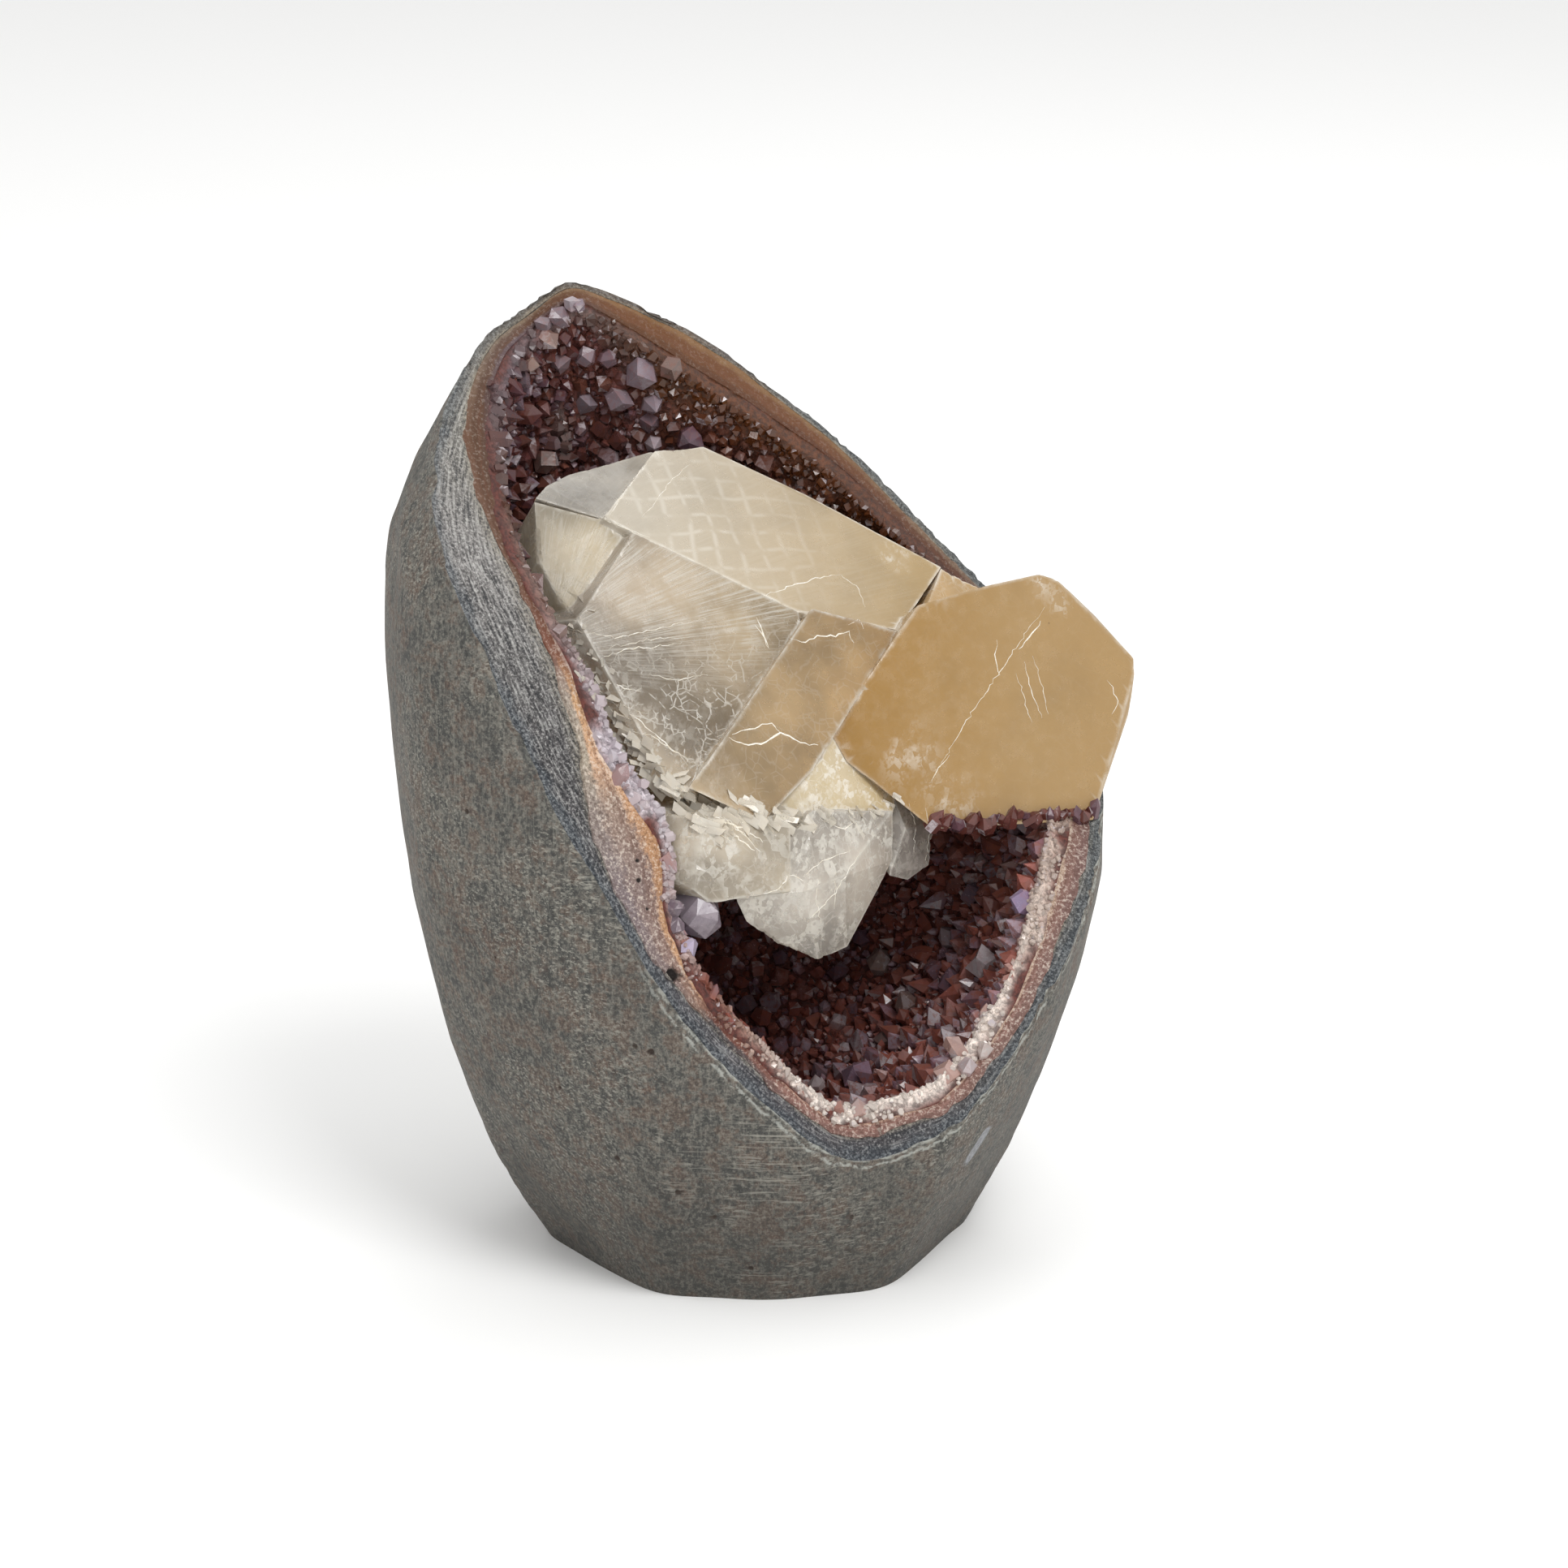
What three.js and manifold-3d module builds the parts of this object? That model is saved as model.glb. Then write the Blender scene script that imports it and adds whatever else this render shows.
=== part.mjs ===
// An amethyst geode cut open on a slant and ground to stand on a flat base.
// A basalt shell carries a thin agate band, a druse of small amethyst points
// and one cluster of honey calcite that grew across the mouth.
// Millimetres, +Z up, origin at the centre of the base. The mouth faces -Y.
import * as THREE from "three";
import { ConvexGeometry } from "three/addons/geometries/ConvexGeometry.js";
import { mergeVertices } from "three/addons/utils/BufferGeometryUtils.js";
import Module from "manifold-3d";

const wasm = await Module();
wasm.setup();

// Driving sizes of the ground outside: at each height, how far it reaches
// to the left, to the right, to the front and to the back.
const OUTSIDE = [
  { z: 0, left: -41, right: 41.5, front: -42.5, back: 43 },
  { z: 17, left: -50.5, right: 51.5, front: -49, back: 49 },
  { z: 32, left: -56.5, right: 57.5, front: -53, back: 53 },
  { z: 50, left: -61.5, right: 63, front: -56, back: 56 },
  { z: 70, left: -66, right: 67.5, front: -58, back: 58 },
  { z: 90, left: -68.5, right: 68, front: -58.5, back: 59 },
  { z: 114, left: -70, right: 62, front: -56, back: 56 },
  { z: 137, left: -69, right: 45, front: -48, back: 49 },
  { z: 148, left: -64.5, right: 35, front: -41, back: 45 },
  { z: 160, left: -58, right: 21, front: -30, back: 41 },
  { z: 174, left: -49.5, right: 2, front: -13, back: 35 },
  { z: 184, left: -38, right: -24, front: 8, back: 27 },
];
const SQUARENESS = 2.25; // 2 is an ellipse, more is squarer
// The outside was ground on a wheel in flats that meet in soft ridges.
const RIDGES_DEG = [2, 42, 81, 118, 155, 190, 245, 273, 303]; // at the base
const RIDGE_TWIST = 0.17; // degrees for each millimetre of height
const FLATNESS = { base: 1, above: 0.3, fadeHeight: 60 };

// The rim of the mouth, round it from the right: azimuth about the middle of
// the section, height, and the thickness there of the basalt and of the agate.
const RIM = [
  { az: -15, z: 71, basalt: 3.5, agate: 4 },
  { az: 3, z: 84, basalt: 3, agate: 3.5 },
  { az: 23, z: 101, basalt: 2.5, agate: 3 },
  { az: 39, z: 121, basalt: 2, agate: 3 },
  { az: 48, z: 142, basalt: 2, agate: 3.5 },
  { az: 58, z: 154, basalt: 1.5, agate: 5 },
  { az: 76, z: 168.5, basalt: 1.5, agate: 7 },
  { az: 118, z: 178.5, basalt: 1.5, agate: 3 },
  { az: 142, z: 173.5, basalt: 2, agate: 2.5 },
  { az: 176, z: 168, basalt: 2.5, agate: 4 },
  { az: 190, z: 159, basalt: 6, agate: 6 },
  { az: 206, z: 148, basalt: 15, agate: 3 },
  { az: 216, z: 138.5, basalt: 19, agate: 2.5 },
  { az: 225, z: 121.5, basalt: 15.5, agate: 4 },
  { az: 231, z: 105.5, basalt: 12, agate: 4.5 },
  { az: 239, z: 89, basalt: 5, agate: 12.5 },
  { az: 245, z: 78, basalt: 3, agate: 14 },
  { az: 251, z: 67, basalt: 3.5, agate: 7 },
  { az: 260, z: 54, basalt: 5.5, agate: 2.5 },
  { az: 272, z: 42, basalt: 5, agate: 3 },
  { az: 288, z: 30, basalt: 5, agate: 2.5 },
  { az: 302, z: 32, basalt: 4.5, agate: 2 },
  { az: 315, z: 37.5, basalt: 3.5, agate: 2 },
  { az: 327, z: 51, basalt: 3, agate: 2 },
];
const MOUTH_CENTRE = new THREE.Vector3(-1, -16, 103);
const INTO_THE_STONE = new THREE.Vector3(-0.5, 0.62, -0.6).normalize();

// The calcite: corners of the flat-faced crystals that grew into each other.
// The first corners of each are the ones seen from the front, the last its root.
const CALCITE = {
  upperSlab: [
    [-28, -5.5, 140.5], [-19, 17, 148], [-10, 25, 147], [-6, 25.5, 145],
    [10.5, 28, 136.5], [35.5, 29, 122.5], [27, 7.5, 115.5], [8, -2, 121.5],
    [-22.5, -5.5, 137.5], [-40, 16, 118], [-30, 28, 112], [20, 32, 104], [0, 10, 96],
  ],
  frontSlab: [
    [-22.5, -5.5, 137.5], [8, -2, 121.5], [-32.5, -20, 124.5], [-28.5, -22, 119.5],
    [-27, -24, 113.5], [-14, -33, 94], [14, -14, 101], [-23, -27, 105.5], [-56, 4, 116],
    [-54, -6, 102], [-28, 4, 88], [8, 8, 88], [6, 22, 110],
  ],
  bar: [
    [10.5, -3, 122.5], [27, 4.5, 116], [14, -16, 101.5], [10.5, -22.5, 96.5],
    [1.5, -34, 90], [-12, -35.5, 97], [-5, -27.5, 105], [4, 8, 112], [22, 12, 106], [-8, -10, 88],
  ],
  leftWing: [
    [-41, 0, 142], [-28, 0, 138.5], [-32.5, -16.5, 123.5], [-36, -14, 126.5],
    [-40, -9, 133], [-21, -3, 136], [-27, -4, 139], [-29, -18, 118], [-54, 10, 118],
    [-56, 2, 108], [-30, 14, 118],
  ],
  backSlab: [
    [-41, 1, 142.5], [-39, 4.5, 144], [-35, 9.5, 145], [-20, 22.5, 146.5],
    [-14, 24.5, 145.5], [-28, 0.5, 138.5], [-50, 18, 120], [-34, 26, 124], [-14, 28, 128],
  ],
  lowerSlab: [
    [-9, -37.5, 91.5], [-11, -43.5, 80], [-8, -43.5, 77.5], [-3.5, -41.5, 78],
    [6.5, -39.5, 78.5], [6.5, -30.5, 90.5], [-46, -22, 92], [-42, -20, 78], [4, -8, 80], [0, -8, 94],
  ],
  lowerCrystal: [
    [-3.5, -40, 77.5], [-1.5, -38.5, 72.5], [4.5, -36, 67], [11.5, -34, 63.5],
    [17, -30, 65], [25.5, -18.5, 78], [25.5, -14.5, 86.5], [10.5, -28, 90.5],
    [9, -39.5, 78.5], [16.5, -33, 79.5], [0, -8, 84], [16, -4, 84], [2, -16, 70],
  ],
  rightCrystal: [
    [25, -9, 90], [30.5, -2, 88], [34, -2, 81], [32.5, -6.5, 73.5],
    [28.5, -11, 72], [25, -16.5, 74.5], [28, -13, 82.5], [14, 4, 90], [18, 6, 78],
  ],
  upperEnd: [
    [35.5, 30, 122], [44, 33, 117], [30, 8, 114], [27, 7, 112], [20, 32, 104], [40, 34, 106],
  ],
  betweenCrystals: [
    [14, -12.5, 101.5], [18, -12, 95], [26.5, -7.5, 90], [25.5, -14, 85.5],
    [10.5, -26, 89], [9.5, -21.5, 97], [2, -30, 89], [4, 4, 96], [16, 6, 88],
  ],
  honeyCrystal: [
    [14, -13, 101], [27, 1.5, 117], [30.5, 5, 121], [43.5, 12, 123],
    [54, 17.5, 124], [57, 18, 123], [63.5, 14, 110], [69, 10, 98.5], [66.5, 4.5, 90.5],
    [63.5, -3.5, 81.5], [48.5, -8, 82], [33, -14.5, 83], [25.5, -13, 92], [17, -14.5, 96],
    [64.5, 19, 115.5], [72, 17, 107.5], [72, 15, 105], [71, 12, 98.5], [67.5, 7, 90],
    [52, 30, 116], [44, 34, 100], [44, 26, 78], [26, 18, 84], [22, 20, 110],
  ],
};

// The layers reach these thicknesses at a share of the way down the hollow.
const DEEP_BASALT = 11;
const DEEP_AGATE = 3;
const DEEP_FROM = 0.35;
const CRUST_BASE = 3; // the crust under the points
const POINT_HEIGHT = { least: 1.2, most: 4.2 };
const ROUNDED_BOTTOM = 62; // below this height the hollow closes like a bowl
const GAP = 0.35; // between touching solids

// The calcite is rooted in the crust, which has a slightly larger bed for it.
const GROWN_IN = 1.8;
const CALCITE_ROOT = GAP + CRUST_BASE - GROWN_IN;
const BED_SCALE = 1.015;

// How finely each surface is laid out.
const RIM_COLUMNS = 48;
const WALL_ROWS = 12;
const LAYER_RINGS = RIM_COLUMNS / 6;
const POINT_RINGS = 24;

const FAR_OUT = 120; // beyond the stone, measured from the mouth's centre
const LONGEST_REACH = 220;
const FINE = 0.01; // how closely a distance is worked out
const SAME_POINT = 1e-4;
const SHORTEST = 0.02; // edges below this are closed up after a join or a cut

const radians = THREE.MathUtils.degToRad;
const mix = THREE.MathUtils.lerp;
const smoothstep = THREE.MathUtils.smoothstep;

// Repeatable random numbers, so that the crust is the same each time.
function randomNumbers(seed) {
  let state = seed;
  return () => {
    state = (Math.imul(state, 1664525) + 1013904223) >>> 0;
    return state / 2 ** 32;
  };
}

// A smooth curve through four neighbouring values.
function throughFour(a, b, c, d, t) {
  const t2 = t * t;
  const t3 = t2 * t;
  return (
    0.5 *
    (2 * b + (c - a) * t + (2 * a - 5 * b + 4 * c - d) * t2 + (3 * b - a - 3 * c + d) * t3)
  );
}

function sectionAt(z) {
  const last = OUTSIDE.length - 1;
  let i = OUTSIDE.findIndex((row) => row.z > z) - 1;
  if (z >= OUTSIDE[last].z) i = last - 1;
  i = Math.max(i, 0);
  const [low, high] = [OUTSIDE[i], OUTSIDE[i + 1]];
  const t = (z - low.z) / (high.z - low.z);
  const value = (key) => mix(low[key], high[key], t);
  return {
    x: (value("left") + value("right")) / 2,
    y: (value("front") + value("back")) / 2,
    halfWidth: (value("right") - value("left")) / 2,
    halfDepth: (value("back") - value("front")) / 2,
  };
}

// How much of the full radius is left where the flats were ground.
function groundShare(azimuth, z) {
  const full = 2 * Math.PI;
  const turned = azimuth - radians(RIDGE_TWIST * z);
  const ridges = RIDGES_DEG.map(radians);
  const from = ((turned - ridges[0]) % full + full) % full;
  const steps = ridges.map((ridge) => ridge - ridges[0]).concat(full);
  const next = steps.findIndex((step) => step > from);
  const half = (steps[next] - steps[next - 1]) / 2;
  const middle = steps[next - 1] + half;
  const chord = Math.cos(half) / Math.cos(from - middle);
  const strength = mix(FLATNESS.base, FLATNESS.above, smoothstep(z, 0, FLATNESS.fadeHeight));
  return 1 - strength * (1 - chord);
}

function outsidePoint(azimuth, z) {
  const s = sectionAt(z);
  const across = Math.abs(Math.cos(azimuth)) / s.halfWidth;
  const deep = Math.abs(Math.sin(azimuth)) / s.halfDepth;
  const full = (across ** SQUARENESS + deep ** SQUARENESS) ** (-1 / SQUARENESS);
  const radius = full * groundShare(azimuth, z);
  return new THREE.Vector3(
    s.x + radius * Math.cos(azimuth),
    s.y + radius * Math.sin(azimuth),
    z,
  );
}

// The rim's values at a share of the way round, from 0 to 1.
function rimAt(share) {
  const count = RIM.length;
  const place = ((share % 1) + 1) % 1 * count;
  const i = Math.floor(place);
  const t = place - i;
  const value = (key) => {
    const four = [i - 1, i, i + 1, i + 2].map((k) => {
      const turns = Math.floor(k / count);
      const row = RIM[k - turns * count];
      return row[key] + (key === "az" ? 360 * turns : 0);
    });
    return throughFour(...four, t);
  };
  const azimuth = radians(value("az"));
  const point = outsidePoint(azimuth, value("z"));
  return { azimuth, z: value("z"), point, basalt: value("basalt"), agate: value("agate") };
}

// The distance from the mouth's centre, along a direction, to the smooth form
// that the hollow follows: the outside, closed below like a bowl.
function distanceOut(direction) {
  const filled = (distance) => {
    const p = MOUTH_CENTRE.clone().addScaledVector(direction, distance);
    const top = OUTSIDE[OUTSIDE.length - 1].z;
    const s = sectionAt(Math.min(Math.max(p.z, 0), top));
    const bottom = Math.max(0, ROUNDED_BOTTOM - p.z) / ROUNDED_BOTTOM;
    return (
      (Math.abs(p.x - s.x) / s.halfWidth) ** SQUARENESS +
      (Math.abs(p.y - s.y) / s.halfDepth) ** SQUARENESS +
      bottom ** SQUARENESS
    );
  };
  let [near, far] = [0, LONGEST_REACH];
  while (far - near > FINE) {
    const middle = (near + far) / 2;
    if (filled(middle) < 1) near = middle;
    else far = middle;
  }
  return near;
}

// A point of the hollow: `share` is the way round the rim, `depth` runs from
// 0 at the rim to 1 at the bottom, and `layers` lists what lies outside it.
function hollowPoint(share, depth, { basalt = 0, agate = 0, below = 0 }) {
  const rim = rimAt(share);
  const toRim = rim.point.clone().sub(MOUTH_CENTRE);
  const reach = toRim.length();
  toRim.normalize();
  const turn = new THREE.Quaternion().setFromUnitVectors(toRim, INTO_THE_STONE);
  const partly = new THREE.Quaternion().slerp(turn, depth);
  const direction = toRim.clone().applyQuaternion(partly);
  const ground = distanceOut(toRim) - reach; // taken off the smooth form at the rim
  const atRim = (1 - depth) ** 2;
  const deeper = smoothstep(depth, 0, DEEP_FROM);
  const thickness =
    basalt * mix(rim.basalt, DEEP_BASALT, deeper) +
    agate * mix(rim.agate, DEEP_AGATE, deeper) +
    below;
  const distance = distanceOut(direction) - ground * atRim - thickness;
  return {
    point: MOUTH_CENTRE.clone().addScaledVector(direction, distance),
    direction,
  };
}

// A disc of near-equal triangles in `rings` hexagonal rings. Each corner has
// its way round and its ring; every third one can carry a crystal point.
function hexagonalDisc(rings) {
  const alongSide = [[-1, 1], [-1, 0], [0, -1], [1, -1], [1, 0], [0, 1]];
  const corners = [];
  const numbers = new Map();
  const add = (q, r, ring, share) => {
    numbers.set(q + "," + r, corners.length);
    corners.push({ q, r, ring, share, peak: (((q - r) % 3) + 3) % 3 === 0 });
  };
  add(0, 0, 0, 0);
  for (let ring = 1; ring <= rings; ring++) {
    let [q, r] = [ring, 0];
    for (let step = 0; step < 6 * ring; step++) {
      add(q, r, ring, step / (6 * ring));
      const [dq, dr] = alongSide[Math.floor(step / ring)];
      q += dq;
      r += dr;
    }
  }
  const triangles = [];
  for (const { q, r } of corners) {
    const at = (dq, dr) => numbers.get(q + dq + "," + (r + dr));
    for (const [b, c] of [[at(1, 0), at(0, 1)], [at(0, 1), at(-1, 1)]]) {
      if (b !== undefined && c !== undefined) triangles.push([at(0, 0), b, c]);
    }
  }
  return { corners, triangles, rim: range(corners.length - 6 * rings, 6 * rings) };
}

// A closed surface put together from sides that share rings of points.
class Surface {
  points = [];
  triangles = [];

  add(a, b, c, turned = false) {
    this.triangles.push(turned ? [a, c, b] : [a, b, c]);
  }

  // A band between an upper ring and a lower one that has the same number of
  // points or a whole number of times as many; it faces outwards.
  band(upper, lower, turned = false) {
    const many = lower.length / upper.length;
    upper.forEach((a, i) => {
      const nextA = upper[(i + 1) % upper.length];
      const below = range(i * many, many + 1).map((k) => lower[k % lower.length]);
      for (let k = 0; k < many; k++) this.add(a, below[k], below[k + 1], turned);
      this.add(a, below[many], nextA, turned);
    });
  }

  // A hexagonal disc laid on the wall of the hollow, facing the mouth.
  // Returns its ring of points at the rim.
  lining(rings, layers, turned = false, heightAt = () => 0) {
    const disc = hexagonalDisc(rings);
    const start = this.points.length;
    for (const corner of disc.corners) {
      const depth = 1 - corner.ring / rings;
      const { point, direction } = hollowPoint(corner.share, depth, layers);
      this.points.push(point.addScaledVector(direction, -heightAt(corner)));
    }
    for (const [a, b, c] of disc.triangles) this.add(start + a, start + b, start + c, turned);
    return disc.rim.map((i) => start + i);
  }

  geometry() {
    const geometry = new THREE.BufferGeometry();
    const numbers = this.points.flatMap((p) => p.toArray());
    geometry.setAttribute("position", new THREE.Float32BufferAttribute(numbers, 3));
    geometry.setIndex(this.triangles.flat());
    return geometry;
  }
}

function range(start, count) {
  return Array.from({ length: count }, (_, i) => start + i);
}

function basaltGeometry() {
  const surface = new Surface();
  surface.points.push(new THREE.Vector3(0, 0, 0));
  const rows = range(0, WALL_ROWS + 1).map((row) => {
    const up = row / WALL_ROWS;
    return range(0, RIM_COLUMNS).map((column) => {
      const share = column / RIM_COLUMNS;
      const rim = rimAt(share);
      const foot = radians(RIM[0].az) + 2 * Math.PI * share;
      surface.points.push(outsidePoint(mix(foot, rim.azimuth, up), rim.z * up));
      return surface.points.length - 1;
    });
  });
  rows[0].forEach((a, i) => surface.add(0, rows[0][(i + 1) % RIM_COLUMNS], a));
  for (let row = 0; row < WALL_ROWS; row++) surface.band(rows[row + 1], rows[row]);
  const hollow = surface.lining(LAYER_RINGS, { basalt: 1 });
  surface.band(hollow, rows[WALL_ROWS]);
  return surface.geometry();
}

function agateGeometry() {
  const surface = new Surface();
  const outer = surface.lining(LAYER_RINGS, { basalt: 1, below: GAP }, true);
  const inner = surface.lining(LAYER_RINGS, { basalt: 1, agate: 1 });
  surface.band(inner, outer);
  return surface.geometry();
}

// The crust: a thin layer whose free side is a field of six-sided points.
function crustGeometry() {
  const random = randomNumbers(7);
  const surface = new Surface();
  const outer = surface.lining(LAYER_RINGS, { basalt: 1, agate: 1, below: GAP }, true);
  const front = { basalt: 1, agate: 1, below: GAP + CRUST_BASE };
  const inner = surface.lining(POINT_RINGS, front, false, (corner) => {
    const chance = random();
    if (!corner.peak || corner.ring === POINT_RINGS) return 0;
    return mix(POINT_HEIGHT.least, POINT_HEIGHT.most, chance ** 2);
  });
  surface.band(outer, inner, true);
  return surface.geometry();
}

// Everything the calcite may fill: the hollow above a level in the crust, and
// the room in front of the cut, which it clears by the gap.
function roomForCalcite(below) {
  const surface = new Surface();
  const rim = surface.lining(LAYER_RINGS, { basalt: 1, agate: 1, below }, true);
  const outwards = INTO_THE_STONE.clone().negate();
  const ring = (place) =>
    rim.map((corner, i) => {
      surface.points.push(place(corner, i).addScaledVector(outwards, GAP));
      return surface.points.length - 1;
    });
  const raised = ring((corner) => surface.points[corner].clone());
  const far = ring((corner, i) => {
    const direction = rimAt(i / RIM_COLUMNS).point.sub(MOUTH_CENTRE).normalize();
    return MOUTH_CENTRE.clone().addScaledVector(direction, FAR_OUT);
  });
  surface.band(raised, rim);
  surface.band(far, raised);
  surface.points.push(MOUTH_CENTRE.clone().addScaledVector(outwards, FAR_OUT));
  const apex = surface.points.length - 1;
  far.forEach((a, i) => surface.add(a, far[(i + 1) % far.length], apex));
  return solidOf(surface.geometry());
}

function calciteSolid(growth, below) {
  const crystals = Object.values(CALCITE).map((corners) => {
    const points = corners.map((corner) => new THREE.Vector3(...corner));
    const middle = points.reduce((sum, p) => sum.add(p), new THREE.Vector3());
    middle.divideScalar(points.length);
    for (const p of points) p.sub(middle).multiplyScalar(growth).add(middle);
    return solidOf(new ConvexGeometry(points));
  });
  const grown = crystals.reduce((all, one) => all.add(one));
  return grown.intersect(roomForCalcite(below)).simplify(SHORTEST);
}

// Between three.js geometries and solids that can be joined and cut.
function solidOf(geometry) {
  geometry.deleteAttribute("normal");
  geometry.deleteAttribute("uv");
  const merged = mergeVertices(geometry, SAME_POINT);
  const numbers = {
    numProp: 3,
    vertProperties: merged.attributes.position.array,
    triVerts: new Uint32Array(merged.index.array),
  };
  return new wasm.Manifold(new wasm.Mesh(numbers));
}

function geometryOf(solid) {
  const { vertProperties, triVerts } = solid.getMesh();
  const geometry = new THREE.BufferGeometry();
  geometry.setAttribute("position", new THREE.BufferAttribute(vertProperties, 3));
  geometry.setIndex(new THREE.BufferAttribute(triVerts, 1));
  return geometry;
}

const stone = new THREE.Group();

function addPiece(name, geometry, colour, roughness) {
  const material = new THREE.MeshStandardMaterial({ color: colour, roughness, metalness: 0 });
  const mesh = new THREE.Mesh(geometry, material);
  mesh.name = name;
  stone.add(mesh);
}

addPiece("basalt_shell", basaltGeometry(), 0x6a665f, 0.8);
addPiece("agate_band", agateGeometry(), 0xb98a70, 0.5);
const bed = calciteSolid(BED_SCALE, CALCITE_ROOT - GAP);
const crust = solidOf(crustGeometry()).subtract(bed).simplify(SHORTEST);
addPiece("amethyst_crust", geometryOf(crust), 0x5a3038, 0.25);
addPiece("calcite_cluster", geometryOf(calciteSolid(1, CALCITE_ROOT)), 0xe0cfa0, 0.2);

export default stone;
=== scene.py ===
"""A cut amethyst geode with a cluster of honey calcite across its mouth."""
import math
from functools import reduce
from itertools import chain, product

import bmesh
import bpy
import numpy as np
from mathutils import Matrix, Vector
from mathutils.bvhtree import BVHTree
from mathutils.kdtree import KDTree


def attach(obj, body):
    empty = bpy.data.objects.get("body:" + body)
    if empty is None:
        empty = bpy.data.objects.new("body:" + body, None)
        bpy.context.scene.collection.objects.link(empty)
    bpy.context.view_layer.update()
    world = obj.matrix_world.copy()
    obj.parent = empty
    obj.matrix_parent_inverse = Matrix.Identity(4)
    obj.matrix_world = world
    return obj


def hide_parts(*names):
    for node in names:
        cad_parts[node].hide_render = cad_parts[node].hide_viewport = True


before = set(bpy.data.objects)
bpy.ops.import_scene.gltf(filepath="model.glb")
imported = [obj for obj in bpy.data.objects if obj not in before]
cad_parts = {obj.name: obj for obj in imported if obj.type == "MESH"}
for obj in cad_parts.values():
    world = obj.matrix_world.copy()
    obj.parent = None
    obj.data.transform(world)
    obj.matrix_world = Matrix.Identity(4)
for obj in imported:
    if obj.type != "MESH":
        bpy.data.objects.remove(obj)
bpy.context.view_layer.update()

MM = 0.001
RANDOM_SEED = 11

# The view of the photograph: a long lens a metre away, looking a little down.
PHOTO_SIZE = 1932
PIXEL = 0.153 * MM
DISTANCE = 1.0
ELEVATION = math.radians(16)
TARGET = Vector((5.33, 0, 87.53)) * MM
SENSOR = 36
RIGHT = Vector((1, 0, 0))
UP = Vector((0, math.sin(ELEVATION), math.cos(ELEVATION)))
TO_CAMERA = Vector((0, -math.cos(ELEVATION), math.sin(ELEVATION)))
CAMERA = TARGET + TO_CAMERA * DISTANCE


def colour(code):
    """A colour written as on a screen, as the linear values that shaders take."""
    parts = [int(code[i : i + 2], 16) / 255 for i in (1, 3, 5)]
    linear = [p / 12.92 if p <= 0.04045 else ((p + 0.055) / 1.055) ** 2.4 for p in parts]
    return (*linear, 1.0)


def rgb(code):
    return np.array(colour(code)[:3])


def turned(direction):
    """Directions with a length of one."""
    return direction / np.maximum(np.linalg.norm(direction, axis=-1, keepdims=True), 1e-20)


# The middle of the mouth, from which the walls are measured.
MOUTH_CENTRE = np.array([-1, -16, 103]) * MM
INTO_THE_STONE = turned(np.array([-0.5, 0.62, -0.6]))
ACROSS_X = turned(np.cross(INTO_THE_STONE, [0, 0, 1.0]))
ACROSS_Y = np.cross(ACROSS_X, INTO_THE_STONE)
RIM_REACH = 60 * MM  # about how far the rim is from the middle

# The kinds of face, and how far a cut face may look away from the middle or towards it.
OUTSIDE, CUT, HOLLOW, BASE = range(4)
CUT_LIMIT = 0.22


# What is seen round the rim. Each row starts with the angle round the mouth in
# degrees: 0 is the top of the stone, and the angle rises clockwise from the front.

# the sawn basalt: its colour, and how strongly it is speckled
BASALT_RIM = (
    (-165, "#4c4a4d", 0.8), (-140, "#504e51", 0.9), (-120, "#4b4a4c", 1.0), (-90, "#4c4a4b", 1.1),
    (-65, "#62605f", 1.1), (-45, "#807d7b", 1.0), (-25, "#817e78", 0.8), (-5, "#8a7d6c", 0.4),
    (10, "#8a7056", 0.3), (24, "#84705c", 0.3), (36, "#7c776e", 0.5), (60, "#77746c", 0.6),
    (95, "#5f5e5a", 0.7), (120, "#63615b", 0.8), (150, "#595755", 0.9), (175, "#4b494b", 0.8),
)
# the agate: its colour at the basalt, in the middle and at the crystals, and how grainy
AGATE_RIM = (
    (-168, "#7d5b53", "#90695f", "#b08875", 0.9), (-157, "#4a4345", "#744438", "#8c5a48", 0.7),
    (-151, "#474244", "#67372b", "#7f4535", 0.6), (-147.5, "#8a6f62", "#9a7764", "#c79c78", 0.9),
    (-140, "#847370", "#93796f", "#c79a74", 1.0), (-125, "#7c6f72", "#87746f", "#ad805a", 1.0),
    (-103, "#8a7d76", "#9c8576", "#cb9c74", 1.0), (-90, "#a89c8a", "#d0a684", "#ead2bd", 1.0),
    (-72, "#a4978a", "#cda074", "#e6d4c6", 1.0), (-60, "#7a4a38", "#774530", "#a08478", 0.6),
    (-45, "#6a4a38", "#5e3a26", "#6b4a34", 0.35), (-25, "#664632", "#563823", "#543828", 0.3),
    (-8, "#80705f", "#60473a", "#665458", 0.3), (6, "#84603c", "#6a3f1b", "#5a3415", 0.15),
    (40, "#80603f", "#6b4122", "#583017", 0.15), (75, "#77604f", "#5c3a2b", "#4c2c22", 0.3),
    (100, "#6f534a", "#75544b", "#8a7365", 0.8), (130, "#745651", "#826158", "#b69c88", 0.9),
    (158, "#7d5f57", "#8c685e", "#c1a490", 0.9),
)
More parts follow.
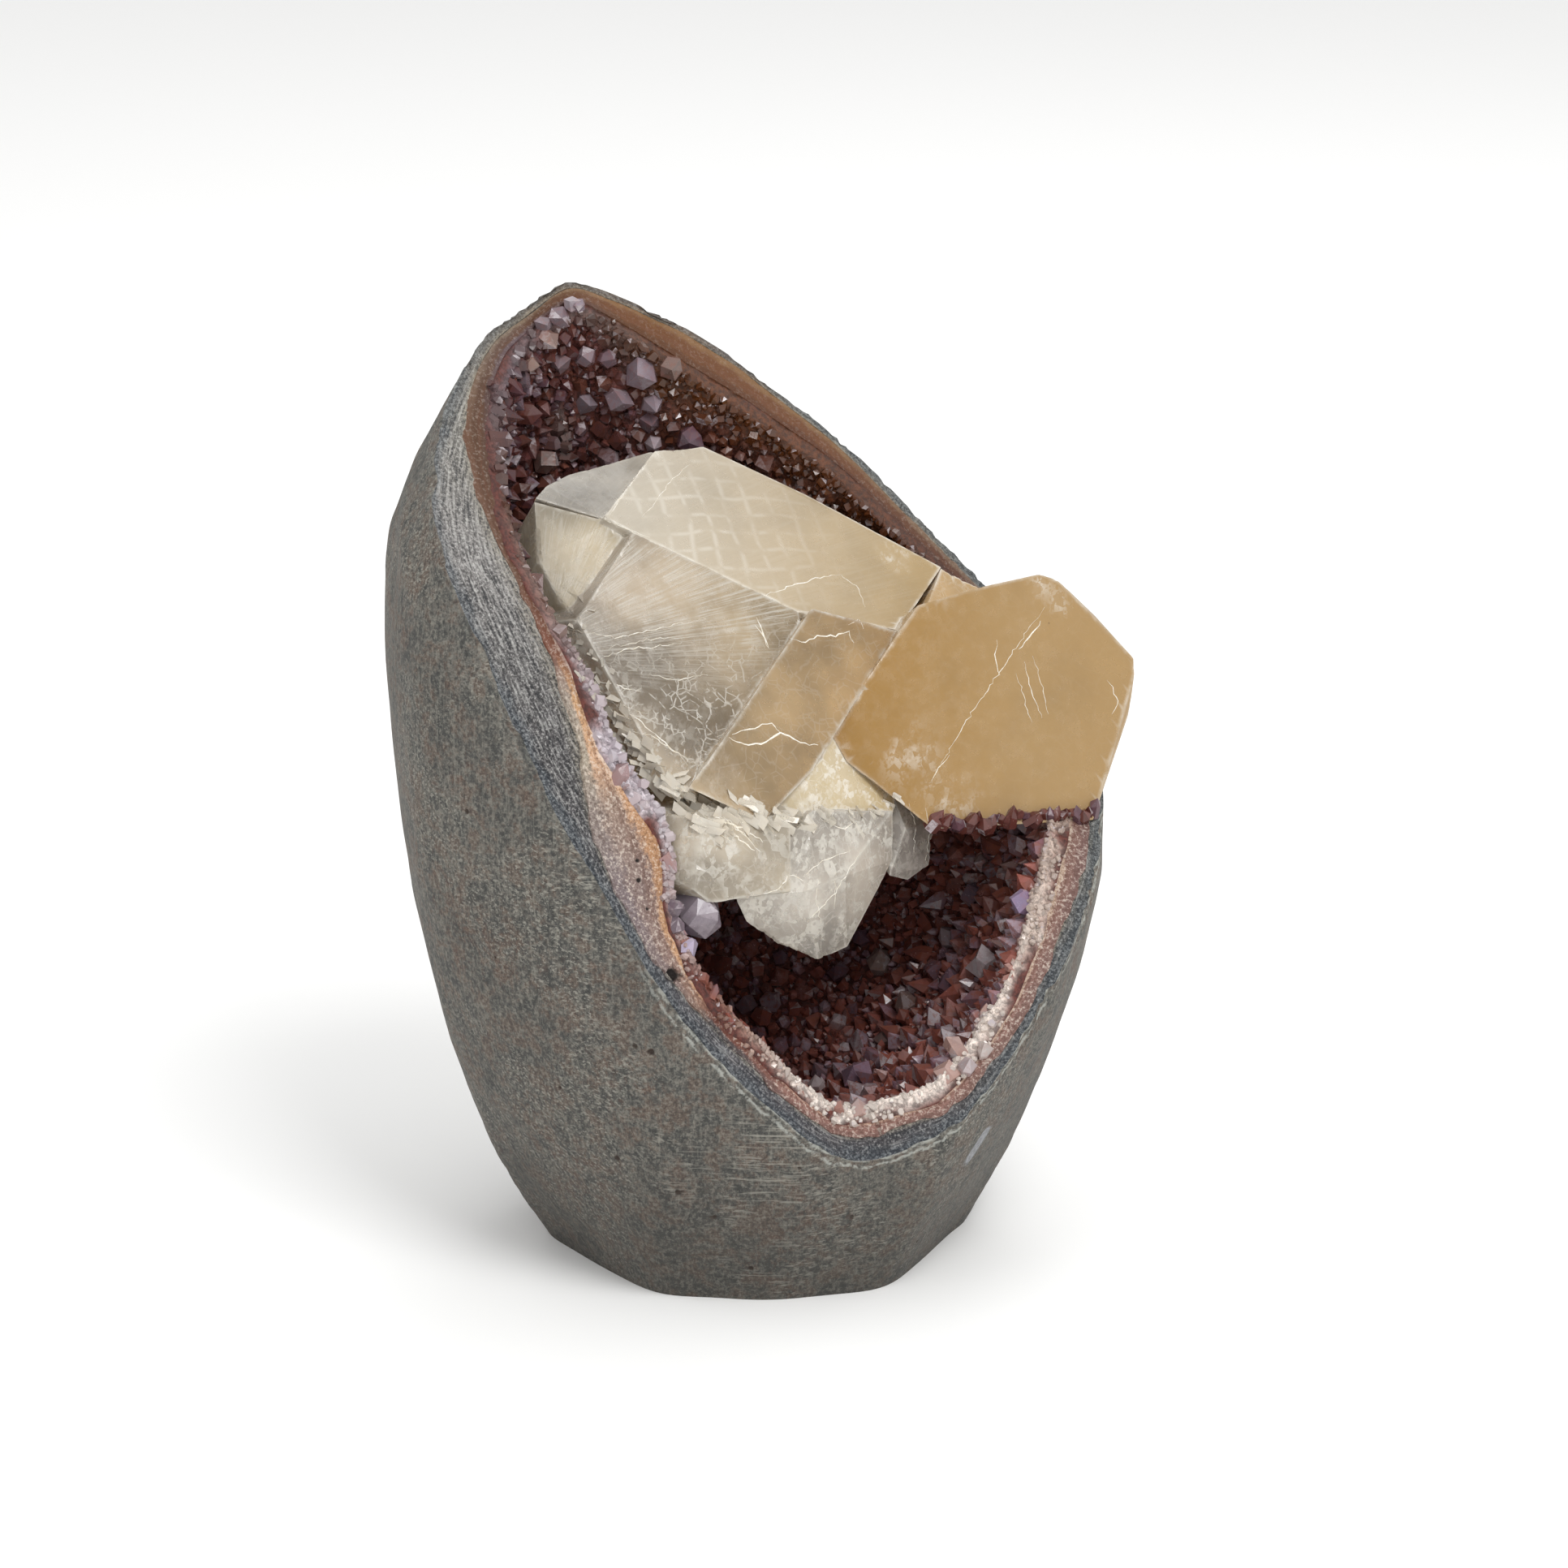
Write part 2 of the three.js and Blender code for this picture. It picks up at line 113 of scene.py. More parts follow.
# the rim of the crystals: its colour, how far it reaches into the hollow in
# millimetres, how sugary the sawn crust is, and how wide its crystals are
CRYSTAL_RIM = (
    (-170, "#e9ddd3", 2.2, 1.0, 0.8), (-158, "#a98778", 1.0, 0.9, 0.8),
    (-149, "#703f31", 0.6, 0.1, 0.9), (-143, "#b59a93", 1.4, 0.7, 1.0),
    (-120, "#d4cace", 2.0, 1.0, 1.4), (-90, "#cfc5cc", 2.4, 0.9, 1.8),
    (-70, "#c2b4b8", 2.4, 0.8, 2.0), (-50, "#83685f", 2.2, 0.3, 2.2),
    (-30, "#5a3e33", 1.6, 0.0, 2.4), (-12, "#6c5a5f", 1.8, 0.0, 2.6),
    (2, "#5e4740", 2.4, 0.0, 2.2), (12, "#5a3217", 9.0, 0.0, 1.8),
    (45, "#593016", 9.0, 0.0, 1.6), (80, "#542e20", 7.0, 0.1, 1.4),
    (105, "#7b5b50", 2.6, 0.6, 1.2), (125, "#bfa99c", 2.4, 0.9, 1.0),
    (145, "#d8c6ba", 2.4, 1.0, 0.9), (165, "#ecdfd5", 2.4, 1.0, 0.8),
)


def stations(angles, table):
    """The values of such a table at any angles, by columns."""
    rows = sorted(table)
    rows = [(rows[-1][0] - 360, *rows[-1][1:])] + rows + [(rows[0][0] + 360, *rows[0][1:])]
    turns = [row[0] for row in rows]
    columns = []
    for cells in zip(*(row[1:] for row in rows)):
        if isinstance(cells[0], str):
            channels = np.array([rgb(code) for code in cells]).T
            columns.append(np.stack([np.interp(angles, turns, c) for c in channels], axis=1))
        else:
            columns.append(np.interp(angles, turns, cells))
    return columns


def way_round(points):
    """The angle round the mouth in degrees."""
    from_middle = points - MOUTH_CENTRE
    return np.degrees(np.arctan2(from_middle @ ACROSS_X, from_middle @ ACROSS_Y))


def seen(tree, across, down):
    """Where the view through a pixel of the photograph meets a surface, and its normal."""
    offset = RIGHT * (across - PHOTO_SIZE / 2) + UP * (PHOTO_SIZE / 2 - down)
    ray = (offset * PIXEL - TO_CAMERA * DISTANCE).normalized()
    place, normal, _, _ = tree.ray_cast(CAMERA, ray)
    if place is None:
        raise ValueError(f"nothing is seen through pixel {across}, {down}")
    return place, normal


# Geometry helpers. Points are rows of x, y, z in metres; faces are rows of corners.


def node_arrays(node):
    """A node's points and triangles, with doubled points merged."""
    work = bmesh.new()
    work.from_mesh(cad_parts[node].data)
    bmesh.ops.remove_doubles(work, verts=work.verts, dist=0.002 * MM)
    bmesh.ops.triangulate(work, faces=work.faces)
    points = np.array([v.co for v in work.verts])
    faces = np.array([[v.index for v in f.verts] for f in work.faces])
    work.free()
    return points, faces


def tree_of(points, faces):
    return BVHTree.FromPolygons(points.tolist(), faces.tolist())


def edges_of(faces):
    """Every edge once, and for each face which edges its three sides are."""
    sides = np.sort(faces[:, [0, 1, 1, 2, 2, 0]].reshape(-1, 2), axis=1).astype(np.int64)
    step = sides.max() + 1
    keys, which = np.unique(sides[:, 0] * step + sides[:, 1], return_inverse=True)
    return np.stack([keys // step, keys % step], axis=1), which.reshape(-1, 3)


def refine(points, faces, labels, limit, rounds=12):
    """Splits long edges until none is over the limit, which is worked out at its middle."""
    for _ in range(rounds):
        edges, sides = edges_of(faces)
        ends = points[edges]
        middles = ends.mean(axis=1)
        split = np.linalg.norm(ends[:, 0] - ends[:, 1], axis=1) > limit(middles)
        if not split.any():
            break
        number = np.where(split, np.cumsum(split) - 1 + len(points), -1)
        points = np.vstack([points, middles[split]])
        marks = number[sides]
        many = (marks >= 0).sum(axis=1)
        new_faces, new_labels = [faces[many == 0]], [labels[many == 0]]
        for turn in range(3):
            a, b, c = np.roll(faces, -turn, axis=1).T
            ab, bc, ca = np.roll(marks, -turn, axis=1).T
            one = (many == 1) & (ab >= 0)
            two = (many == 2) & (ca < 0)
            for chosen, corners in (
                (one, (a, ab, c)), (one, (ab, b, c)),
                (two, (ab, b, bc)), (two, (a, ab, bc)), (two, (a, bc, c)),
            ):
                new_faces.append(np.stack(corners, axis=1)[chosen])
                new_labels.append(labels[chosen])
        three = many == 3
        (a, b, c), (ab, bc, ca) = faces.T, marks.T
        for corners in ((a, ab, ca), (ab, b, bc), (ca, bc, c), (ab, bc, ca)):
            new_faces.append(np.stack(corners, axis=1)[three])
            new_labels.append(labels[three])
        faces, labels = np.vstack(new_faces), np.concatenate(new_labels)
    return points, faces, labels


def evenly(length):
    """A limit for `refine` that is the same everywhere."""
    return lambda middles: np.full(len(middles), length)


def lines_between(faces, kinds):
    """The edges of the mesh, and which of them part two kinds of face."""
    edges, sides = edges_of(faces)
    low = np.full(len(edges), 99)
    high = np.full(len(edges), -1)
    np.minimum.at(low, sides.ravel(), np.repeat(kinds, 3))
    np.maximum.at(high, sides.ravel(), np.repeat(kinds, 3))
    return edges, low != high


def neighbours_middle(points, pairs):
    """The middle of each point's neighbours. A pair is a point and one of its neighbours."""
    to, source = pairs.T
    count = np.maximum(np.bincount(to, minlength=len(points)), 1)
    sums = [np.bincount(to, points[source, k], len(points)) for k in range(3)]
    return np.stack(sums, axis=1) / count[:, None]


def smooth(points, faces, kinds, rounds):
    """Rounds off the facets, but keeps the lines between two kinds of face."""
    edges, parting = lines_between(faces, kinds)
    line_degree = np.bincount(edges[parting].ravel(), minlength=len(points))
    on_line = line_degree > 0
    use = parting | ~(on_line[edges[:, 0]] | on_line[edges[:, 1]])
    one_sided = ~parting & ~use
    pairs = [edges[use], edges[use][:, ::-1]]
    for end in (0, 1):
        # a plain point follows its neighbour on a line, but not the other way
        chosen = edges[one_sided & ~on_line[edges[:, end]]]
        pairs.append(chosen if end == 0 else chosen[:, ::-1])
    pairs = np.vstack(pairs)
    free = (line_degree == 0) | (line_degree == 2)
    for step in range(2 * rounds):
        # a step in and a slightly longer step out, so that the form doesn't shrink
        strength = (0.5, -0.52)[step % 2]
        points = points + strength * free[:, None] * (neighbours_middle(points, pairs) - points)
    return points


def face_normals(points, faces):
    a, b, c = points[faces].transpose(1, 0, 2)
    return turned(np.cross(b - a, c - a))


def point_normals(points, faces):
    a, b, c = points[faces].transpose(1, 0, 2)
    weighted = np.cross(b - a, c - a)
    normals = np.zeros_like(points)
    for corner in faces.T:
        for k in range(3):
            normals[:, k] += np.bincount(corner, weighted[:, k], len(points))
    return turned(normals)


def looking_away(points, faces):
    """How far each face looks away from the mouth's middle: 1 away, -1 towards it."""
    outwards = turned(points[faces].mean(axis=1) - MOUTH_CENTRE)
    return (face_normals(points, faces) * outwards).sum(axis=1)


def face_kinds(points, faces):
    """Outside, cut or hollow: the cut faces hold the rays from the mouth's middle."""
    away = looking_away(points, faces)
    return np.where(away > CUT_LIMIT, OUTSIDE, np.where(away < -CUT_LIMIT, HOLLOW, CUT))


def nearest(points, targets):
    """How far each point is from the nearest of some others."""
    tree = KDTree(len(targets))
    for i, target in enumerate(targets.tolist()):
        tree.insert(target, i)
    tree.balance()
    return np.array([tree.find(point)[2] for point in points.tolist()])


def wobble(points, size, seed):
    """A smooth random number for each point, about -1 to 1, from a few waves."""
    random = np.random.default_rng(seed)
    total = np.zeros(len(points))
    for octave in range(3):
        for _ in range(6):
            wave = random.normal(0, 1, 3)
            wave *= 2**octave * 2.2 / size / np.linalg.norm(wave)
            total += np.sin(points @ wave + random.uniform(0, 6.3)) * 0.55 / 1.7**octave
    return total / 1.6


def make_mesh(name, points, faces, values=None, kinds=None, flat=False):
    """A new object. `values` are numbers or vectors for each point, face or face corner,
    whichever there are as many of, and `kinds` choose materials."""
    mesh = bpy.data.meshes.new(name)
    domains = {len(points): "POINT", len(faces): "FACE", 3 * len(faces): "CORNER"}
    mesh.from_pydata(points.tolist(), [], faces.tolist())
    for key, numbers in (values or {}).items():
        numbers = np.asarray(numbers, np.float32)
        kind, field = ("FLOAT_VECTOR", "vector") if numbers.ndim == 2 else ("FLOAT", "value")
        attribute = mesh.attributes.new(key, kind, domains[len(numbers)])
        attribute.data.foreach_set(field, numbers.ravel())
    if kinds is not None:
        mesh.polygons.foreach_set("material_index", np.asarray(kinds, np.int32))
    mesh.polygons.foreach_set("use_smooth", np.full(len(faces), not flat))
    mesh.update()
    piece = bpy.data.objects.new(name, mesh)
    bpy.context.scene.collection.objects.link(piece)
    return piece


def crisp_lines(piece, faces, kinds):
    """Marks the lines between two kinds of face as sharp, for the shading."""
    edges, parting = lines_between(faces, kinds)
    wanted = {tuple(edge) for edge in edges[parting].tolist()}
    mesh = piece.data
    pairs = np.empty(2 * len(mesh.edges), np.int32)
    mesh.edges.foreach_get("vertices", pairs)
    pairs = np.sort(pairs.reshape(-1, 2), axis=1)
    sharp = np.array([tuple(pair) in wanted for pair in pairs.tolist()])
    mesh.edges.foreach_set("use_edge_sharp", sharp)


def finish_piece(piece, node, slot, *materials):
    """Gives a piece its materials, puts it under the root, and hides the node that it takes the
    place of.
    """
    for material in materials:
        piece.data.materials.append(material)
    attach(piece, "root")
    if node:
        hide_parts(node)


# Material helpers.


class Shader:
    """Short names for the nodes of one material. Lengths are in metres."""

    def __init__(self, name):
        self.material = bpy.data.materials.new(name)
        self.material.use_nodes = True
        self.tree = self.material.node_tree
        self.tree.nodes.clear()
        self.place = self.node("TexCoord").outputs["Object"]

    def node(self, kind, inputs=None, **settings):
        """A node with its settings, and its inputs by name or number."""
        node = self.tree.nodes.new("ShaderNode" + kind)
        for key, value in settings.items():
            setattr(node, key, value)
        for key, value in (inputs or {}).items():
            if isinstance(value, bpy.types.NodeSocket):
                self.tree.links.new(value, node.inputs[key])
            else:
                node.inputs[key].default_value = colour(value) if isinstance(value, str) else value
        return node

    def stretched(self, stretch, turn):
        inputs = {"Rotation": [math.radians(a) for a in turn], "Scale": stretch}
        return self.node("Mapping", {"Vector": self.place, **inputs}).outputs[0]

    def place_of(self, x, y):
        return self.node("CombineXYZ", {0: x, 1: y}).outputs[0]

    def noise(self, size, detail=4.0, roughness=0.55, place=None, twist=0.0, output="Fac"):
        inputs = {"Scale": 1 / size, "Detail": detail, "Roughness": roughness, "Distortion": twist}
        return self.node("TexNoise", {"Vector": place or self.place, **inputs}).outputs[output]

    def cells(self, size, feature="F1", place=None, output="Distance"):
        """A pattern of small cells, whose Color output is a value for each cell."""
        inputs = {"Vector": place or self.place, "Scale": 1 / size}
        return self.node("TexVoronoi", inputs, feature=feature).outputs[output]

    def number(self, name):
        return self.node("Attribute", attribute_name=name).outputs["Fac"]

    def vector(self, name):
        return self.node("Attribute", attribute_name=name).outputs["Vector"]

    def math(self, operation, a, b=0.0, clamp=False):
        return self.node("Math", {0: a, 1: b}, operation=operation, use_clamp=clamp).outputs[0]

    def times(self, *values):
        return reduce(lambda a, b: self.math("MULTIPLY", a, b), values)

    def plus(self, *values):
        return reduce(lambda a, b: self.math("ADD", a, b), values)

    def most(self, *values):
        return reduce(lambda a, b: self.math("MAXIMUM", a, b), values)

    def around(self, value, width):
        """A value from 0 to 1, brought to either side of nought."""
        return self.times(self.plus(value, -0.5), width)

    def warped(self, size, amount):
        """The place, pushed about by a smooth noise."""
        push = self.noise(size, 3, 0.5, output="Color")
        inputs = {0: push, 1: (amount, amount, amount), 2: self.place}
        return self.node("VectorMath", inputs, operation="MULTIPLY_ADD").outputs[0]

    def along(self, direction, place=None):
        inputs = {0: place or self.place, 1: direction}
        return self.node("VectorMath", inputs, operation="DOT_PRODUCT").outputs["Value"]

    def scaled(self, vector, factor):
        return self.node("VectorMath", {0: vector, "Scale": factor}, operation="SCALE").outputs[0]

    def span(self, value, low, high, to_low=0.0, to_high=1.0):
        """Takes a value from one range to another, with soft ends."""
        ends = {"From Min": low, "From Max": high, "To Min": to_low, "To Max": to_high}
        inputs = {"Value": value, **ends}
        return self.node("MapRange", inputs, interpolation_type="SMOOTHSTEP").outputs[0]

    def mix(self, share, a, b):
        return self.node("Mix", {"Factor": share, 6: a, 7: b}, data_type="RGBA").outputs[2]

    def stain(self, base, value, low, high, amount, code):
        """Mixes some of a colour in where a value is near the second of two numbers."""
        return self.mix(self.span(value, low, high, 0, amount), base, code)

    def thin_lines(self, direction, spacing, width, seed_size):
        """Parallel lines across a direction, unevenly spaced, as a share from 0 to 1."""
        shift = self.times(self.noise(seed_size, 2), 1.6)
        step = self.plus(self.times(self.along(direction), 1 / spacing), shift)
        off = self.math("ABSOLUTE", self.plus(self.math("FRACT", step), -0.5))
        return self.span(off, 0.0, width / spacing, 1, 0)

    def bump(self, height, distance, strength):
        inputs = {"Height": height, "Distance": distance, "Strength": strength}
        return self.node("Bump", inputs).outputs[0]

    def finish(self, volume=None, **inputs):
        """The material, from the shader's sockets and the colour and density inside."""
        names = [key.replace("_", " ").title().replace("Ior", "IOR") for key in inputs]
        surface = self.node("BsdfPrincipled", dict(zip(names, inputs.values())))
        ends = {"Surface": surface.outputs[0]}
        if volume:
            absorption = self.node("VolumeAbsorption", dict(zip(("Color", "Density"), volume)))
            ends["Volume"] = absorption.outputs[0]
        self.node("OutputMaterial", ends)
        return self.material


def ground_basalt():
    """The outside: grey stone ground smooth, with rusty blotches, scratches and pits."""
    s = Shader("ground_basalt")
    grain = s.noise(0.8 * MM, 4, 0.8)
    mottle = s.noise(4.2 * MM, 5, 0.72)
    base = s.mix(s.span(s.noise(34 * MM, 3, 0.5), 0.38, 0.62), "#55524d", "#615e58")
    base = s.stain(base, mottle, 0.51, 0.57, 0.6, "#5f4d42")
    base = s.stain(base, mottle, 0.49, 0.42, 0.7, "#3b3d3c")
    patch = s.span(s.noise(19 * MM, 4, 0.6), 0.47, 0.6)
    patch = s.times(patch, s.span(s.noise(1.9 * MM, 3, 0.7), 0.5, 0.6))
    base = s.mix(s.times(patch, 0.4), base, "#604233")
    base = s.stain(base, grain, 0.51, 0.6, 0.5, "#8b887e")
    base = s.stain(base, grain, 0.49, 0.4, 0.6, "#282725")
    scratches = s.noise(0.5 * MM, 3, 0.62, s.stretched((0.04, 1, 1), (0, 33, 0)))
    marked = s.span(s.noise(22 * MM, 3), 0.42, 0.56)
    base = s.mix(s.times(marked, s.span(scratches, 0.55, 0.62, 0, 0.55)), base, "#a3a095")
    dents = s.noise(0.6 * MM, 3, 0.62, s.stretched((1, 1, 0.06), (0, 8, 0)))
    base = s.stain(base, dents, 0.56, 0.64, 0.2, "#9a978c")
    base = s.stain(base, dents, 0.44, 0.36, 0.2, "#343331")
    # painted shade: the ground side grows darker towards the base, where less light reaches it by
    # the floor
    base = s.mix(s.span(s.along((0, 0, 1)), 2 * MM, 46 * MM, 0.4, 0), base, "#35332f")
    # where the ground side meets the sawn edge: two thin pale lines of painted highlight, broken
    # in places
    from_edge = s.plus(s.number("from_edge"), s.around(s.noise(3.4 * MM, 4, 0.65), 2.6 * MM))
    patchy = s.span(s.noise(2.0 * MM, 3, 0.75), 0.4, 0.56)
    second = s.span(from_edge, 1.0 * MM, 1.3 * MM)
    second = s.times(second, s.span(from_edge, 1.5 * MM, 1.9 * MM, 1, 0))
    lines = s.most(s.span(from_edge, 0.2 * MM, 0.7 * MM, 1, 0), second)
    # painted highlight: the two lines are mixed towards a pale grey
    base = s.mix(s.times(lines, patchy, s.number("edge_highlight"), 0.7), base, "#a9aba4")
    base = s.mix(s.number("spot"), base, s.mix(s.span(grain, 0.4, 0.6), "#77787a", "#97989b"))
    # painted shade: the pits are darkened towards a deep brown
    base = s.mix(s.times(s.number("pit_shade"), 0.8), base, "#33261f")
    height = s.plus(s.times(grain, 0.7), s.times(scratches, 0.4), s.times(mottle, 0.7))
    return s.finish(
        base_color=base,
        roughness=s.span(grain, 0.3, 0.7, 0.6, 0.82),
        specular_ior_level=0.35,
        normal=s.bump(height, 0.3 * MM, 0.9),
    )


def cut_basalt():
    """The sawn edge: blue-grey, streaked along the edge and speckled white."""
    s = Shader("cut_basalt")
    from_edge = s.number("from_edge")
    speckle = s.number("speckle")
    lengthwise = s.place_of(from_edge, s.times(s.number("along"), 0.09))
    streaks = s.noise(0.55 * MM, 4, 0.65, lengthwise)
    grain = s.noise(0.6 * MM, 4, 0.85)
    value = s.plus(s.times(grain, 0.65), s.times(streaks, 0.35))
    light = s.plus(1.0, s.times(s.span(value, 0.4, 0.6, -0.62, 0.8), speckle))
    base = s.scaled(s.vector("tint"), light)
    base = s.stain(base, streaks, 0.48, 0.38, 0.45, "#2b2e33")
    base = s.mix(s.times(s.span(streaks, 0.54, 0.62), speckle, 0.35), base, "#b9b9b5")
    base = s.mix(s.times(s.span(grain, 0.54, 0.61), speckle, 0.42), base, "#cfcec9")
    stray = s.around(s.noise(6 * MM, 5, 0.6), 6 * MM)
    outer = s.span(s.plus(from_edge, stray), 0.6 * MM, 3.4 * MM, 1, 0)
    dark = s.mix(s.span(grain, 0.42, 0.62), "#2c3239", "#6f777c")
    base = s.mix(s.times(outer, 0.6), base, dark)
    inner = s.span(s.number("across"), 0.7, 1.0)
    base = s.mix(s.times(inner, s.span(grain, 0.4, 0.56), 0.5), base, "#9a907c")
    return s.finish(
        base_color=base,
        roughness=0.8,
        specular_ior_level=0.3,
        normal=s.bump(value, 0.6 * MM, 0.9),
    )


def rim_agate():
    """The agate band, from the basalt through its middle to the crystals."""
    s = Shader("rim_agate")
    across = s.number("across")
    wave = s.noise(0.16, 4, 0.62, s.place_of(across, s.times(s.number("along"), 45)))
    grain = s.noise(0.7 * MM, 4, 0.8)
    patches = s.noise(3.6 * MM, 4, 0.6)
    where = s.plus(across, s.around(wave, 0.4), s.around(grain, 0.5), s.around(patches, 0.4))
    base = s.mix(s.span(where, 0.1, 0.34), s.vector("outer"), s.vector("middle"))
    base = s.mix(s.span(where, 0.62, 0.84), base, s.vector("inner"))
    line = s.times(s.span(where, 0.5, 0.56), s.span(where, 0.6, 0.66, 1, 0))
    base = s.mix(s.times(line, 0.4), base, "#6b422f")
    grainy = s.number("grainy")
    base = s.mix(s.times(s.span(grain, 0.52, 0.61, 0, 0.6), grainy), base, "#e3d6c8")
    base = s.mix(s.times(s.span(grain, 0.48, 0.39, 0, 0.6), grainy), base, "#503629")
    # painted shade: the holes in the agate are darkened nearly to black
    base = s.mix(s.number("pit_shade"), base, "#1f1613")
    return s.finish(
        base_color=base,
        roughness=0.55,
        specular_ior_level=0.4,
        normal=s.bump(s.plus(grain, wave), 0.5 * MM, 0.9),
    )


def crust_bed():
    """The rough bed between the points."""
    s = Shader("crust_bed")
    grain = s.noise(1.1 * MM, 4, 0.72)
    base = s.scaled(s.vector("tint"), s.span(grain, 0.36, 0.64, 0.5, 1.3))
    return s.finish(base_color=base, roughness=0.5, normal=s.bump(grain, 0.6 * MM, 1.0))


def amethyst():
    """The points: glassy, with painted glints and painted shade face by face, and rustier towards
    the root, with painted shade there too.
    """
    s = Shader("amethyst")
    haze = s.noise(1.2 * MM, 3, 0.7)
    # painted shade: each face is darkened or lightened by its own number
    tint = s.scaled(s.vector("tint"), s.number("shade"))
    # towards the root the colour turns to the root colour: rust, and for some points a darkened
    # copy of the tint as painted shade
    base = s.mix(s.span(s.number("up"), 0.0, 0.7, 0.8, 0), tint, s.vector("root"))
    base = s.mix(s.span(haze, 0.52, 0.38, 0, 0.6), base, s.vector("root"))
    # painted glints: some faces are mixed towards a pale lilac grey
    base = s.mix(s.times(s.number("glint"), s.span(haze, 0.4, 0.55, 0.3, 1)), base, "#cdc2c6")
    return s.finish(
        base_color=base,
        roughness=s.span(haze, 0.3, 0.7, 0.08, 0.28),
        transmission_weight=0.25,
        ior=1.54,
        normal=s.bump(haze, 0.08 * MM, 0.6),
    )


def calcite(name, see_through, depth, focus, across, down):
    """Calcite: clear or milky, and white where it is full of cleavages.

    The fibres fan out from the focus, in the plane of the other two directions."""
    s = Shader(name)
    cloud = s.noise(11 * MM, 3, 0.5)
    ripple = s.noise(3 * MM, 3, 0.6)
    blotches = s.noise(6 * MM, 4)
    from_focus = s.node("VectorMath", {0: s.place, 1: focus}, operation="SUBTRACT").outputs[0]
    u, v = s.along(across, from_focus), s.along(down, from_focus)
    angle = s.math("ARCTAN2", v, s.times(u, -1.0))
    far = s.math("SQRT", s.plus(s.times(u, u), s.times(v, v)))
    spread = s.place_of(s.times(angle, 30 * MM), s.times(far, 0.06))
    fan = s.span(s.noise(0.55 * MM, 3, 0.8, spread, 0.4), 0.46, 0.58)
    fibres = s.times(s.number("fibre"), fan, s.span(blotches, 0.36, 0.54, 0.15, 0.65))
    # cracks: the walls of warped cells, at two sizes
    bent = s.warped(7 * MM, 3 * MM)
    large = s.span(s.cells(6 * MM, "DISTANCE_TO_EDGE", bent), 0.0, 0.035, 1, 0)
    small = s.span(s.cells(2.0 * MM, "DISTANCE_TO_EDGE", bent), 0.0, 0.08, 1, 0)
    small = s.times(small, s.span(s.noise(3.5 * MM, 4), 0.46, 0.56))
    broken = s.span(s.noise(2.6 * MM, 4, 0.7), 0.42, 0.56)
    cracks = s.times(s.number("crack"), s.most(s.times(large, broken), small))
    # crushed places, in blocks along the cleavage
    tilted = s.stretched((1, 0.45, 0.8), (15, 35, 25))
    coarse = s.cells(1.3 * MM, place=tilted, output="Color")
    fine = s.cells(0.45 * MM, place=tilted, output="Color")
    broken_up = s.span(s.plus(coarse, s.times(fine, 0.7)), 0.75, 1.1, 0.15, 1)
    crushed = s.times(s.number("crush"), broken_up, s.span(blotches, 0.38, 0.56, 0.1, 0.95))
    # faint straight cleavage lines, two ways across the upper slab
    grid = s.most(
        s.thin_lines(GRID_DOWN, 5.2 * MM, 1.0 * MM, 34 * MM),
        s.thin_lines(GRID_ALONG, 4.2 * MM, 0.8 * MM, 30 * MM),
    )
    faint = s.span(s.noise(5 * MM, 3), 0.4, 0.56, 0.2, 1)
    grid = s.times(s.number("grid"), grid, faint, 0.36)
    patchy = s.times(s.number("edge"), s.span(s.noise(5 * MM, 4, 0.7), 0.38, 0.6, 0.2, 0.9))
    white = s.math("MINIMUM", s.most(fibres, cracks, grid, patchy, crushed), 1.0)
    # where it is clear the dark inside shows through, so the colour is deeper there
    milky = s.plus(s.number("milk"), s.around(cloud, 0.7))
    tint = s.scaled(s.vector("tint"), s.span(milky, 0.1, 0.85, *depth))
    base = s.mix(s.times(white, 0.92), tint, "#fbf6ea")
    specks = s.times(s.span(s.cells(11 * MM), 0.0, 0.03, 1, 0), s.number("speck"))
    base = s.mix(s.times(specks, 0.9), base, "#3a2a1e")
    steps = s.times(s.number("crush"), s.plus(coarse, s.times(fine, 0.4)))
    height = s.plus(ripple, s.times(white, 0.3), s.times(steps, 0.6))
    return s.finish(
        volume=CALCITE_INSIDE,
        base_color=base,
        roughness=s.span(ripple, 0.3, 0.7, 0.1, 0.3),
        transmission_weight=see_through,
        ior=1.52,
        normal=s.bump(height, 0.12 * MM, 0.6),
    )


CALCITE_INSIDE = ("#f3dcae", 9)  # the colour that it takes on with depth, and how soon
# The directions across the two sets of lines in the upper slab.
GRID_DOWN = (0.83, 0.5, -0.25)
GRID_ALONG = (-0.48, 0.78, 0.4)
FAN_FOCUS = (722, 800)  # the pixel that the fibres of the front slab run from
GRID_PLACE = (850, 640, 26)  # the gridded part of the upper slab: pixel, radius in millimetres


def fracture():
    """The bright edges of cracks inside the calcite."""
    s = Shader("fracture")
    grain = s.noise(0.8 * MM, 5, 0.7)
    base = s.mix(s.span(grain, 0.35, 0.65), "#e6dcc6", "#fbf8f0")
    return s.finish(base_color=base, roughness=0.45, transmission_weight=0.15, ior=1.5)


# Pieces.


def rim_numbers(points, faces, kinds):
    """For each point: distance from the outer edge, share across, and way along the rim."""
    corners = {k: set(faces[kinds == k].ravel().tolist()) for k in (OUTSIDE, CUT, HOLLOW)}
    from_outer = nearest(points, points[sorted(corners[OUTSIDE] & corners[CUT])])
    from_inner = nearest(points, points[sorted(corners[HOLLOW] & corners[CUT])])
    across = from_outer / np.maximum(from_outer + from_inner, 1e-9)
    angles = way_round(points)
    along = np.radians(angles) * RIM_REACH
    return angles, {"from_edge": from_outer, "across": across, "along": along}


